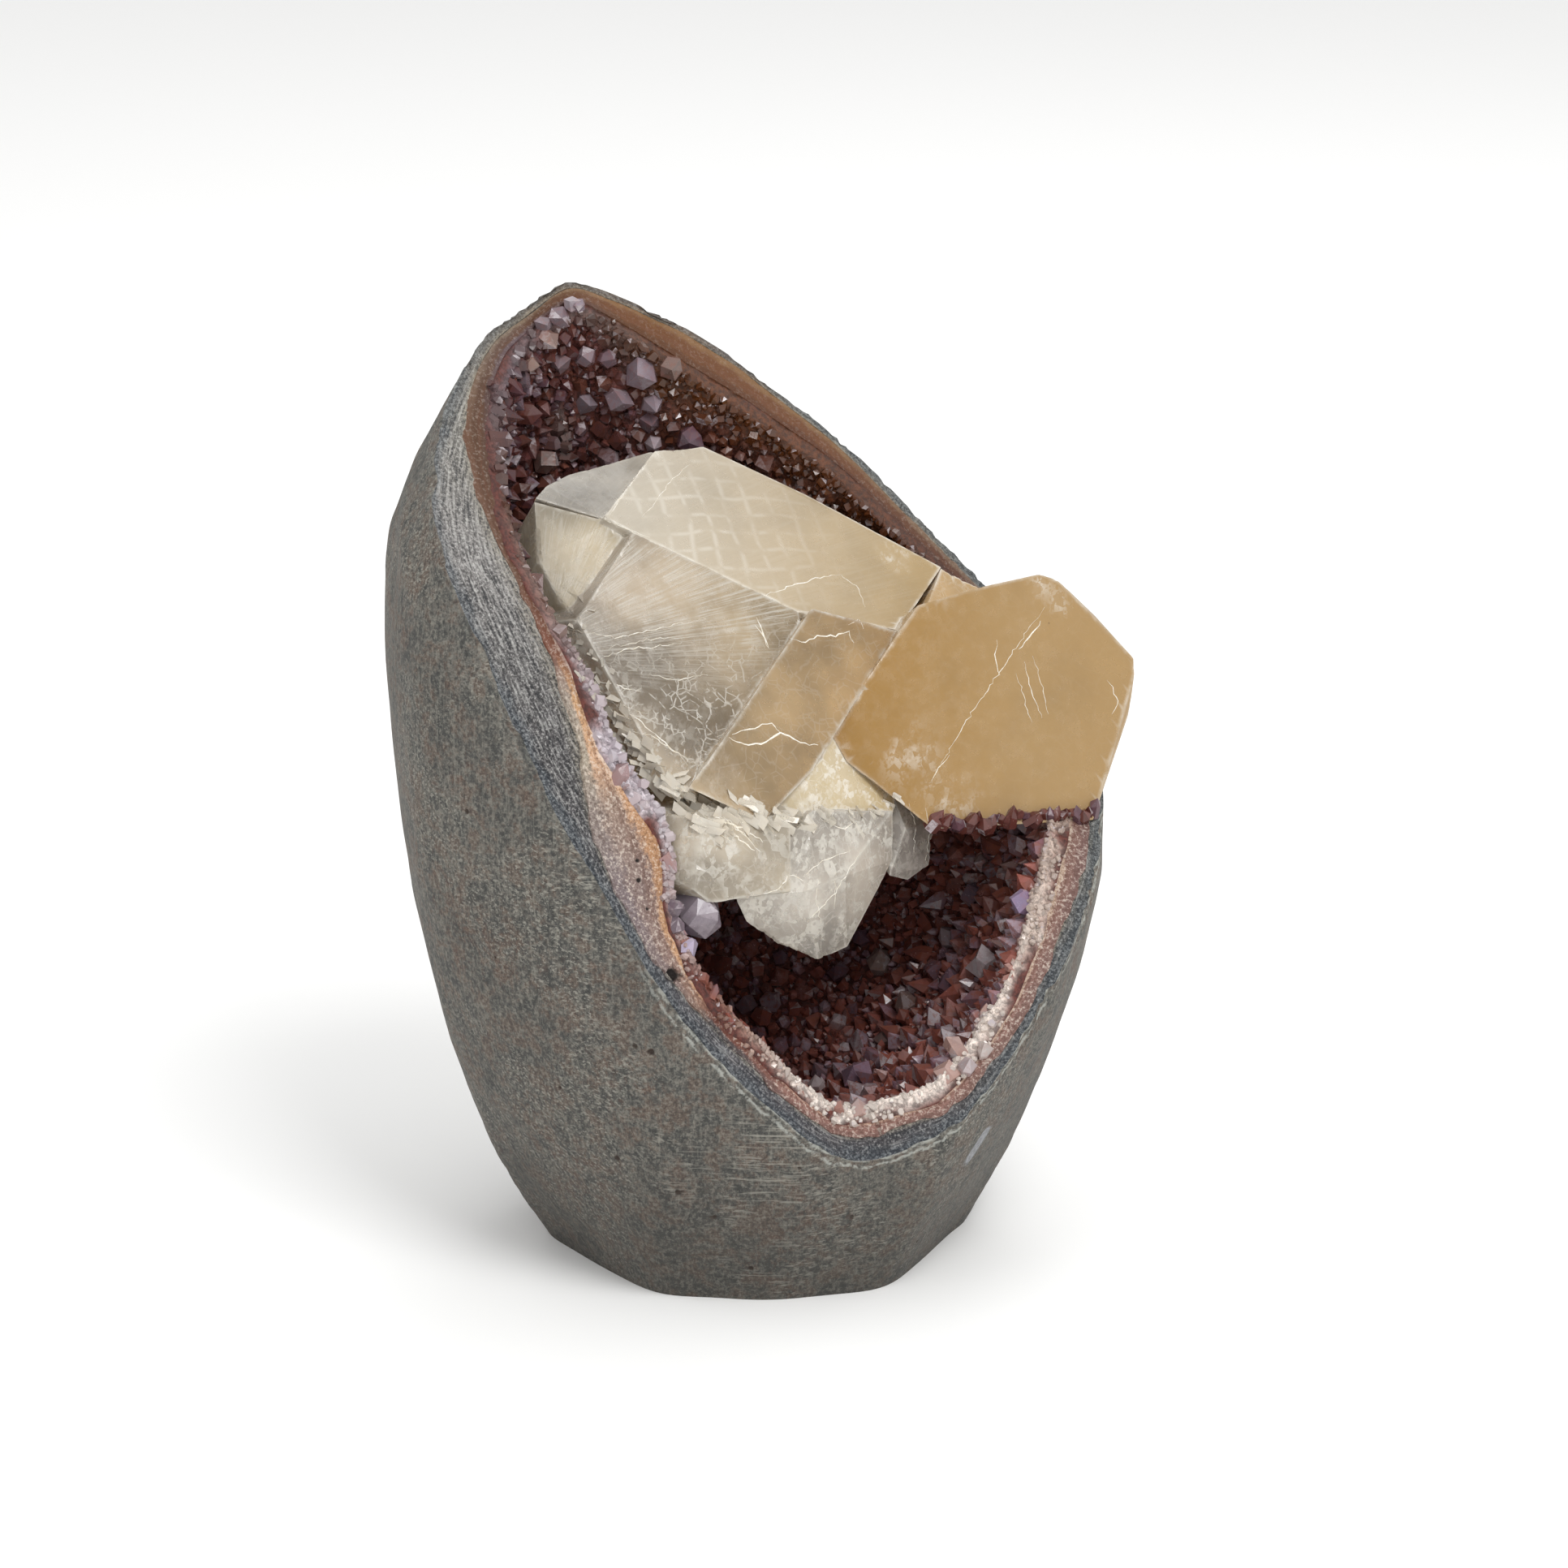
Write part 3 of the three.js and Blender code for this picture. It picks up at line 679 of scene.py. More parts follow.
def layer(node, length, limit):
    """A node's surface made finer and its facets rounded, with its rim kept."""
    points, faces = node_arrays(node)
    kinds = face_kinds(points, faces)
    if node == "basalt_shell":
        under = points[faces][:, :, 2].max(axis=1) < 0.01 * MM
        kinds = np.where(under, BASE, kinds)
    points, faces, kinds = refine(points, faces, kinds, evenly(2 * length))
    points = smooth(points, faces, kinds, 4)
    points, faces, kinds = refine(points, faces, kinds, evenly(length))
    points = smooth(points, faces, kinds, 4)
    return refine(points, faces, kinds, limit)


def grown_out(points, faces, kinds, proud, seed):
    """A layer made to meet the one round it in a wavy line, and to stand a little proud."""
    wave = 0.5 + 0.6 * wobble(points, 3.2 * MM, seed) + 0.5 * wobble(points, 11 * MM, seed + 1)
    out = point_normals(points, faces[kinds == OUTSIDE])
    up = point_normals(points, faces[kinds == CUT])
    reach = 0.4 * MM + 0.75 * MM * np.clip(wave, 0, 1.2)
    return points + out * reach[:, None] + up * proud


# Pits on the ground side: pixel across and down, radius and depth in millimetres.
PITS = (
    (802, 1297, 0.8, 0.5), (782, 1290, 0.5, 0.3), (760, 1427, 0.6, 0.4), (835, 1470, 0.6, 0.4),
    (925, 1563, 0.7, 0.4), (1050, 1500, 0.5, 0.3), (690, 1340, 0.4, 0.3), (1130, 1530, 0.5, 0.3),
    (985, 1440, 0.4, 0.3), (610, 1180, 0.4, 0.3), (575, 1000, 0.5, 0.3), (880, 1500, 0.4, 0.3),
)
# Holes in the sawn agate, in the same way.
AGATE_PITS = (
    (829, 1204, 1.6, 1.4), (787, 1085, 0.6, 0.4), (785, 1060, 0.45, 0.3), (797, 1120, 0.4, 0.3),
)
# The grey filled bubble on the right: its two ends, and its half width.
BUBBLE = ((1197, 1424), (1213, 1398))
BUBBLE_RADIUS = 1.9 * MM
# The edges of the two meshes: usually, and round pits.
BASALT_EDGE, AGATE_EDGE, PIT_EDGE = 1.75 * MM, 1.5 * MM, 0.28 * MM


def pits_on(node, rows, length):
    """Where some pits are on a node, and a limit that makes its mesh fine round them."""
    tree = tree_of(*node_arrays(node))
    pits = [(np.array(seen(tree, *row[:2])[0]), row[2] * MM, row[3] * MM) for row in rows]

    def limit(middles):
        gaps = [np.linalg.norm(middles - place, axis=1) - radius for place, radius, _ in pits]
        return np.where(np.min(gaps, axis=0) < 0.6 * MM, PIT_EDGE, length)

    return tree, pits, limit


def pit_depths(points, pits):
    """How much of a pit each point is, and how deep it lies."""
    share, sunk = np.zeros(len(points)), np.zeros(len(points))
    for place, radius, depth in pits:
        ragged = radius * (1 + 0.35 * wobble(points, 1.5 * MM, 17))
        bowl = np.clip(1 - (np.linalg.norm(points - place, axis=1) / ragged) ** 2, 0, 1)
        share = np.maximum(share, np.clip(bowl * 2.2, 0, 1))
        sunk += depth * bowl
    return share, sunk


def basalt_piece():
    tree, pits, limit = pits_on("basalt_shell", PITS, BASALT_EDGE)
    a, b = [np.array(seen(tree, *end)[0]) for end in BUBBLE]

    def finer(middles):
        by_bubble = np.linalg.norm(middles - (a + b) / 2, axis=1) < 4 * MM
        return np.where(by_bubble, PIT_EDGE, limit(middles))

    points, faces, kinds = layer("basalt_shell", BASALT_EDGE, finer)
    angles, values = rim_numbers(points, faces, kinds)
    values["tint"], values["speckle"] = stations(angles, BASALT_RIM)
    # the painted highlight lines along the edge are seen low down and on the right
    low_down = np.clip((np.abs(angles) - 125) / 20, 0, 1)
    values["edge_highlight"] = np.clip(low_down + np.clip((angles - 60) / 40, 0, 1), 0.15, 1)
    along = np.clip((points - a) @ (b - a) / ((b - a) @ (b - a)), 0, 1)
    away = np.linalg.norm(points - a - along[:, None] * (b - a), axis=1)
    values["spot"] = np.clip((BUBBLE_RADIUS - away) / (0.4 * MM), 0, 1)
    values["pit_shade"], sunk = pit_depths(points, pits)
    outside = np.zeros(len(points), bool)
    outside[faces[kinds == OUTSIDE].ravel()] = True
    outside[faces[kinds == BASE].ravel()] = False
    # the sawn edge is chipped and wavy, and the ground side a little uneven
    chip = 0.25 + 0.7 * wobble(points, 7 * MM, 21) + 0.4 * wobble(points, 2.6 * MM, 22)
    by_edge = np.clip(1 - values["from_edge"] / (2.4 * MM), 0, 1)
    chipped = 0.9 * MM * np.clip(chip, 0, 1.3) * by_edge
    uneven = 0.1 * MM * np.clip(0.4 - wobble(points, 9 * MM, 3), 0, 1)
    ground = point_normals(points, faces[kinds == OUTSIDE])
    points = points - ground * (outside * (chipped + uneven + sunk))[:, None]
    piece = make_mesh("basalt_stone", points, faces, values, np.where(kinds == CUT, 1, 0))
    crisp_lines(piece, faces, kinds)
    finish_piece(piece, "basalt_shell", "basalt", ground_basalt(), cut_basalt())


def agate_piece():
    _, pits, limit = pits_on("agate_band", AGATE_PITS, AGATE_EDGE)
    points, faces, kinds = layer("agate_band", AGATE_EDGE, limit)
    angles, values = rim_numbers(points, faces, kinds)
    points = grown_out(points, faces, kinds, 0.1 * MM, 31)
    values.update(zip(("outer", "middle", "inner", "grainy"), stations(angles, AGATE_RIM)))
    values["pit_shade"], sunk = pit_depths(points, pits)
    points = points - point_normals(points, faces[kinds == CUT]) * sunk[:, None]
    piece = make_mesh("agate_rim", points, faces, values)
    crisp_lines(piece, faces, kinds)
    finish_piece(piece, "agate_band", "agate", rim_agate())


# The colours of the points in the upper and the lower part of the hollow, with how
# common each is, and the colours at their roots. The lower colours are warmer, and
# lighter as painted light, to make up for the shade deep in the hollow.
POINT_COLOURS = (
    ("#603a3a", "#9c5f56", 0.25), ("#58363b", "#90584f", 0.24), ("#6c423a", "#9c6c66", 0.18),
    ("#664e59", "#93747f", 0.17), ("#7e6b75", "#a8929d", 0.11), ("#a0919a", "#c6b7bc", 0.05),
)
ROOT = ("#653526", "#9a5643")
LOWER_BELOW, UPPER_ABOVE = 95 * MM, 120 * MM
UPPER_FROM = 105 * MM  # the height that parts the two pieces of small points
DEEP_BED = "#5c2a20"
# Rust on the far right wall: its colour, the angle it is strongest at, how many
# degrees it reaches to either side, and how far down the wall.
RUST, RUST_MIDDLE, RUST_SPREAD, RUST_REACH = "#865230", 45, 55, 24 * MM
# How many points are tried of each size, and their widths in millimetres, large first.
POINT_SIZES = ((1500, 3.2, 4.6), (9000, 2.2, 3.2), (30000, 1.5, 2.2), (60000, 1.0, 1.5))
DEEPEST_IN_CALCITE = 1.5 * MM
# The sugary crystals on the crust's edge: how many are tried, their widths, and how
# far they reach out over the sawn crust and down the wall.
SUGAR_TRIES, SUGAR_WIDTHS, SUGAR_OUT, SUGAR_DOWN = 60000, (0.5, 1.5), 2.9 * MM, 1.4 * MM

# Points placed one by one: pixel across and down, width and height in millimetres,
# lean to the right and upwards, and colour.
PLACED_POINTS = (
    (790, 460, 6.5, 5.0, 0.1, 0.1, "#978891"), (760, 492, 5.0, 4.0, -0.2, 0.0, "#8f7f87"),
    (803, 497, 4.5, 4.0, 0.3, -0.1, "#a0919a"), (722, 440, 4.0, 4.0, 0.0, 0.3, "#94838b"),
    (745, 440, 3.8, 4.0, 0.2, 0.2, "#857079"), (722, 497, 4.6, 3.6, -0.3, -0.2, "#8f838b"),
    (690, 447, 4.0, 3.6, -0.2, 0.1, "#86757a"), (800, 520, 4.0, 3.2, 0.1, -0.2, "#7f6c74"),
    (826, 452, 4.5, 4.0, 0.2, 0.3, "#7f675f"), (850, 540, 5.5, 3.6, 0.3, -0.3, "#715763"),
    (640, 467, 4.2, 3.6, -0.2, 0.0, "#7c6b72"), (618, 547, 4.6, 4.0, -0.1, -0.3, "#74636b"),
    (805, 547, 3.6, 3.0, 0.0, -0.4, "#b3a4aa"), (672, 570, 4.8, 3.4, 0.1, 0.0, "#7a625c"),
    (1060, 1330, 6.0, 4.6, 0.2, 0.3, "#92798a"), (1086, 1188, 4.8, 5.0, 0.0, 0.5, "#a8968f"),
    (1218, 1190, 6.6, 4.6, 0.2, 0.4, "#c6bbbf"), (1262, 1112, 4.6, 2.8, 0.2, 0.3, "#ab97b9"),
    (1203, 1106, 4.6, 4.4, 0.1, 0.4, "#84717e"), (1168, 1157, 4.6, 4.6, 0.5, 0.1, "#9b8c90"),
    (1007, 1340, 3.0, 3.0, -0.2, 0.4, "#cdc0c2"), (1033, 1198, 4.4, 4.0, 0.2, 0.2, "#7b626d"),
    (920, 1240, 4.2, 4.0, -0.2, 0.4, "#857079"), (1172, 1215, 5.0, 5.4, 0.4, 0.3, "#856b78"),
    (1120, 1240, 4.4, 4.6, 0.2, 0.2, "#907a74"), (1010, 1320, 3.6, 3.2, -0.1, 0.3, "#857079"),
    (1190, 1315, 3.4, 3.4, 0.2, 0.5, "#c4b6b7"), (1212, 1295, 3.2, 3.6, 0.1, 0.6, "#d5cac5"),
    (1272, 1082, 3.6, 2.6, 0.3, 0.5, "#b9a8a9"), (1195, 1270, 3.6, 3.6, 0.1, 0.4, "#7f6866"),
    (1090, 1283, 3.6, 3.0, 0.1, 0.3, "#957f7b"), (960, 1180, 3.6, 3.6, 0.0, 0.3, "#79626f"),
    (1060, 1157, 4.0, 3.6, 0.2, 0.2, "#705866"), (1222, 1240, 3.6, 2.6, 0.2, 0.4, "#795c5f"),
    (704, 376, 3.4, 1.8, 0.2, -0.6, "#a5989f"), (712, 376, 3.0, 1.6, 0.4, -0.6, "#988993"),
    (690, 390, 4.4, 2.4, 0.5, -0.5, "#8d7f87"), (670, 400, 3.6, 2.0, 0.4, -0.6, "#998a90"),
    (676, 418, 4.0, 3.0, 0.5, -0.5, "#94786f"), (650, 448, 3.2, 2.6, 0.8, -0.2, "#947c72"),
)
# Lilac points that stand out from the left rim, in millimetres: foot, direction,
# width, height and colour.
RIM_POINTS = (
    ((-10.5, -40.5, 74.5), (0.5, -0.8, -0.25), 8.8, 5.2, "#867a83"),
    ((-12.5, -46.5, 69.5), (0.6, -0.75, 0.0), 5.4, 3.6, "#b3a5be"),
    ((-15.5, -45.5, 74.0), (0.6, -0.7, 0.1), 4.6, 4.0, "#75656e"),
    ((-15.0, -45.0, 77.0), (0.5, -0.75, 0.2), 3.8, 3.4, "#7b6b75"),
)
# The jagged row of points that grew up over the foot of the honey crystal.
OVERGROWN_EDGE = (
    (1152, 1016), (1166, 1013), (1180, 1016), (1196, 1012), (1213, 1015), (1226, 1008),
    (1240, 1012), (1256, 1006), (1270, 1010), (1286, 1006), (1300, 1008), (1314, 1003),
    (1328, 1006), (1342, 1000),
)
OVERGROWN_COLOURS = ("#6b3a33", "#7a4a44", "#6f4f58")
PRISM_CORNERS = 13  # six at the root, six at the shoulder and the tip
NUB_CORNERS = 34


def prisms(rows, random):
    """Six-sided crystals with a pyramid on top, as one set of points and faces.

    Each row is a foot, a direction, a width, a height, a colour and a root colour."""
    foot, axis, width, height, tint, root = (np.array(column) for column in zip(*rows))
    count = len(rows)
    helper = np.where(np.abs(axis[:, 2:3]) < 0.9, [[0, 0, 1.0]], [[1.0, 0, 0]])
    side = turned(np.cross(axis, helper))
    other = np.cross(axis, side)
    turn = random.uniform(0, 2 * math.pi, count)
    angles = turn[:, None] + np.arange(6) * math.pi / 3 + random.normal(0, 0.08, (count, 6))
    radii = 0.5 * width[:, None] * (1 + random.normal(0, 0.1, (count, 6)))
    ring = np.cos(angles)[..., None] * side[:, None] + np.sin(angles)[..., None] * other[:, None]
    ring *= radii[..., None]
    uneven = np.array([1, -1, 1, -1, 1, -1]) * random.uniform(0.02, 0.16, (count, 1))
    shoulder = height[:, None] * random.uniform(0.1, 0.5, (count, 1)) + width[:, None] * uneven
    sunk = -(0.3 * MM + 0.5 * width)
    low = foot[:, None] + ring + axis[:, None] * sunk[:, None, None]
    mid = foot[:, None] + ring + axis[:, None] * shoulder[..., None]
    lean = side * random.normal(0, 0.09, (count, 1)) + other * random.normal(0, 0.09, (count, 1))
    tip = foot + axis * height[:, None] + lean * width[:, None]
    points = np.concatenate([low, mid, tip[:, None]], axis=1)
    faces = []
    for k in range(6):
        n = (k + 1) % 6
        faces += [(k, n, 6 + n), (k, 6 + n, 6 + k), (6 + k, 6 + n, 12)]
    faces += [(0, k + 1, k) for k in range(1, 5)]
    faces = np.array(faces)[None] + PRISM_CORNERS * np.arange(count)[:, None, None]
    up = np.tile(np.r_[np.zeros(6), np.full(6, 0.45), 1.0], count)
    # each side of a crystal is darker or brighter by itself, as the light in it turns: painted
    # shade and painted inner reflections, and a few sides get a painted glint
    each = random.uniform(0.75, 1.12, (count, 12))
    bright = random.random((count, 12)) * (random.random((count, 12)) < 0.14)
    side_of_face = np.array([(k, k, 6 + k) for k in range(6)]).ravel().tolist() + [0] * 4
    values = {
        "up": up,
        "tint": np.repeat(tint, PRISM_CORNERS, axis=0),
        "root": np.repeat(root, PRISM_CORNERS, axis=0),
        "shade": each[:, side_of_face].ravel(),
        "glint": bright[:, side_of_face].ravel(),
    }
    return points.reshape(-1, 3), faces.reshape(-1, 3), values


def nubs(rows, random):
    """Blunt, many-sided crystals, from the same kind of rows."""
    parts = []
    for foot, axis, width, height, tint, root in rows:
        side = turned(np.cross(axis, [0.3, 0.2, 0.9]))
        other = np.cross(axis, side)
        spread = turned(random.normal(0, 1, (NUB_CORNERS, 3)))
        spread[:, 2] = np.where(spread[:, 2] < -0.2, -1.0, spread[:, 2])
        spread *= random.uniform(0.93, 1.05, (NUB_CORNERS, 1))
        shape = np.stack([side * width / 2, other * width / 2, axis * height])
        work = bmesh.new()
        for corner in (foot + spread @ shape).tolist():
            work.verts.new(corner)
        hull = bmesh.ops.convex_hull(work, input=work.verts)
        loose = set(hull["geom_interior"] + hull["geom_unused"])
        loose = [v for v in loose if isinstance(v, bmesh.types.BMVert)]
        bmesh.ops.delete(work, geom=loose, context="VERTS")
        bmesh.ops.triangulate(work, faces=work.faces)
        work.verts.index_update()
        points = np.array([v.co for v in work.verts])
        faces = np.array([[v.index for v in f.verts] for f in work.faces])
        work.free()
        parts.append((points, faces, {
            "up": np.ones(len(points)),
            "tint": np.tile(tint, (len(points), 1)),
            "root": np.tile(root, (len(points), 1)),
            # painted light: each face is darker or brighter at random, and some get a painted
            # glint
            "shade": random.uniform(0.7, 1.2, len(faces)),
            "glint": 0.6 * random.random(len(faces)) ** 3,
        }))
    return reduce(joined, parts)


def joined(first, second):
    """Two meshes as one."""
    faces = np.vstack([first[1], second[1] + len(first[0])])
    values = {key: np.concatenate([first[2][key], second[2][key]]) for key in first[2]}
    return np.vstack([first[0], second[0]]), faces, values


def sprinkle(points, faces, chosen, count, random):
    """Random places on the chosen faces, evenly by area, with the faces' normals."""
    a, b, c = points[faces[chosen]].transpose(1, 0, 2)
    area = np.linalg.norm(np.cross(b - a, c - a), axis=1)
    pick = random.choice(len(area), count, p=area / area.sum())
    u, v = random.random((2, count, 1))
    over = u + v > 1
    u, v = np.where(over, 1 - u, u), np.where(over, 1 - v, v)
    places = a[pick] + u * (b[pick] - a[pick]) + v * (c[pick] - a[pick])
    return places, face_normals(points, faces[chosen])[pick]


class Crowd:
    """Keeps crystals apart: says whether a new one has room."""

    def __init__(self, cell):
        self.cell = cell
        self.cells = {}

    def room(self, place, radius):
        x, y, z = (int(math.floor(v / self.cell)) for v in place)
        around = product((x - 1, x, x + 1), (y - 1, y, y + 1), (z - 1, z, z + 1))
        for other, other_radius in chain(*(self.cells.get(cell, ()) for cell in around)):
            if math.dist(place, other) < radius + other_radius:
                return False
        self.cells.setdefault((x, y, z), []).append((place, radius))
        return True


class Bed:
    """The crust's surface, which carries the points, and the colours on it."""

    def __init__(self):
        points, faces = node_arrays("amethyst_crust")
        one_kind = np.zeros(len(faces), int)
        points, faces, one_kind = refine(points, faces, one_kind, evenly(2.4 * MM))
        # the sawn rim stays where it is, the wall is smoothed
        kinds = np.where(face_kinds(points, faces) == CUT, CUT, OUTSIDE)
        points = smooth(points, faces, kinds, 10)
        kinds = face_kinds(points, faces)
        self.points, self.faces = grown_out(points, faces, kinds, 0.2 * MM, 41), faces
        away = looking_away(self.points, faces)
        self.wall = away < -0.3
        self.sawn = np.abs(away) < CUT_LIMIT
        inner = set(faces[self.wall].ravel().tolist()) & set(faces[self.sawn].ravel().tolist())
        self.rim_points = self.points[sorted(inner)]
        self.tree = tree_of(self.points, faces)

    def colours(self, places):
        """The share of rim colour at each place, the rim's own colour, how sugary it is
        and how wide its crystals are, and how far from the rim the place is."""
        tint, reach, sugar, width = stations(way_round(places), CRYSTAL_RIM)
        from_rim = nearest(places, self.rim_points)
        reach = reach * MM * (1 + 0.35 * wobble(places, 7 * MM, 5))
        share = np.clip(1.25 - from_rim / np.maximum(reach, 0.2 * MM), 0, 1)
        return share, tint, sugar, width, from_rim


def placed_points(calcite_tree, bed, crowd, random):
    """The listed points, and those that grew over the foot of the honey crystal."""
    rows = []
    root = rgb(ROOT[1])
    for across, down, width, height, right, up, code in PLACED_POINTS:
        place, normal = seen(bed.tree, across, down)
        axis = turned(np.array(normal + 0.5 * TO_CAMERA + RIGHT * right + UP * up))
        tint = rgb(code)
        crowd.room(tuple(place), 0.46 * width * MM)
        own_root = 0.6 * tint + 0.4 * root
        rows.append((np.array(place), axis, width * MM, height * MM, tint, own_root))
    for across, down in OVERGROWN_EDGE:
        for shift in (0, 7):
            place, normal = seen(calcite_tree, across + shift, down + random.uniform(-3, 3))
            axis = np.array(normal * 0.2 + 0.5 * TO_CAMERA + UP * 0.5)
            axis = turned(axis + random.normal(0, 0.25, 3))
            tint = rgb(random.choice(OVERGROWN_COLOURS))
            width = random.uniform(1.7, 2.9)
            # painted shade: the root colour is the tint darkened
            rows.append((np.array(place), axis, width * MM, 1.1 * width * MM, tint, 0.8 * tint))
    return rows


def wall_points(calcite_tree, bed, crowd, random):
    """The small points that cover the wall, wherever there is room for one."""
    rows = []
    roots = [rgb(code) for code in ROOT]
    upper_codes, lower_codes, weights = zip(*POINT_COLOURS)
    upper, lower = [[rgb(code) for code in codes] for codes in (upper_codes, lower_codes)]
    rusty = rgb(RUST)
    for number, low, high in POINT_SIZES:
        places, normals = sprinkle(bed.points, bed.faces, bed.wall, number, random)
        share, tints, _, rim_width, from_rim = bed.colours(places)
        rust = np.clip(1 - np.abs(way_round(places) - RUST_MIDDLE) / RUST_SPREAD, 0, 1)
        rust *= np.clip(1.4 - from_rim / RUST_REACH, 0, 1)
        picks = random.choice(len(weights), number, p=np.array(weights) / sum(weights))
        widths = random.uniform(low, high, number)
        for i, place in enumerate(places):
            width = widths[i]
            if share[i] > 0.4 and width > 1.5 * rim_width[i]:
                continue
            if not crowd.room(tuple(place), 0.4 * width * MM):
                continue
            hit, normal, _, _ = calcite_tree.find_nearest(Vector(place))
            if (Vector(place) - hit).dot(normal) < -DEEPEST_IN_CALCITE:
                continue
            outwards = -0.35 * share[i] * INTO_THE_STONE
            axis = normals[i] * (1 - 0.4 * share[i]) + outwards
            axis = turned(axis + random.normal(0, 0.24, 3))
            height = width * random.uniform(0.6, 1.2) * (1 - 0.45 * share[i])
            # painted light: lower down the points take the lighter lower colours
            low_down = np.clip((UPPER_ABOVE - place[2]) / (UPPER_ABOVE - LOWER_BELOW), 0, 1)
            deep = (1 - low_down) * upper[picks[i]] + low_down * lower[picks[i]]
            root = (1 - low_down) * roots[0] + low_down * roots[1]
            deep = deep * random.uniform(0.8, 1.25)
            deep = deep + rust[i] * 0.6 * (rusty - deep)
            tint = deep + share[i] * (tints[i] * random.uniform(0.85, 1.1) - deep)
            own_root = root + max(share[i], 0.5 * rust[i]) * (tints[i] - root)
            rows.append((place, axis, width * MM, height * MM, tint, own_root))
    return rows


def sugar(bed, random):
    """The sugary crystals on the sawn crust and just inside it."""
    rows = []
    both = bed.sawn | bed.wall
    places, normals = sprinkle(bed.points, bed.faces, both, SUGAR_TRIES, random)
    _, tints, sugary, _, from_rim = bed.colours(places)
    from_middle = places - MOUTH_CENTRE
    facing = (from_middle * normals).sum(axis=1)
    on_the_cut = facing > -0.25 * np.linalg.norm(from_middle, axis=1)
    reach = np.where(on_the_cut, SUGAR_OUT, SUGAR_DOWN) + 1.5 * MM * wobble(places, 8 * MM, 51)
    near = (from_rim < reach) & (random.random(len(places)) < sugary)
    crowd = Crowd(1.6 * MM)
    for i in np.flatnonzero(near):
        width = random.uniform(*SUGAR_WIDTHS)
        if not crowd.room(tuple(places[i]), 0.42 * width * MM):
            continue
        axis = turned(normals[i] * 0.6 - 0.5 * INTO_THE_STONE + random.normal(0, 0.5, 3))
        tint = np.clip(tints[i] * random.uniform(0.75, 1.25), 0, 0.95)
        height = width * random.uniform(0.4, 0.9)
        # painted shade: the root colour is the tint darkened
        rows.append((places[i], axis, width * MM, height * MM, tint, tints[i] * 0.85))
    return rows


def druse_pieces(calcite_tree, bed):
    random = np.random.default_rng(RANDOM_SEED)
    share, tint, *_ = bed.colours(bed.points)
    share = share[:, None]
    values = {"tint": share * tint + (1 - share) * rgb(DEEP_BED)}
    piece = make_mesh("druse_bed", bed.points, bed.faces, values)
    finish_piece(piece, "amethyst_crust", "amethyst", crust_bed())

    blunt = []
    for foot, direction, width, height, code in RIM_POINTS:
        axis = turned(np.array(direction))
        blunt.append((np.array(foot) * MM, axis, width * MM, height * MM, rgb(code), rgb(code)))
    crowd = Crowd(5.2 * MM)
    placed = placed_points(calcite_tree, bed, crowd, random)
    small = wall_points(calcite_tree, bed, crowd, random)
    sugary = sugar(bed, random)
    glass = amethyst()
    for name, rows in (
        ("druse_upper", [row for row in small if row[0][2] > UPPER_FROM]),
        ("druse_lower", [row for row in small if row[0][2] <= UPPER_FROM]),
        ("druse_large", placed),
        ("druse_rim", sugary),
    ):
        mesh = prisms(rows, random)
        if rows is placed:
            mesh = joined(mesh, nubs(blunt, random))
        finish_piece(make_mesh(name, *mesh, flat=True), None, "amethyst", glass)


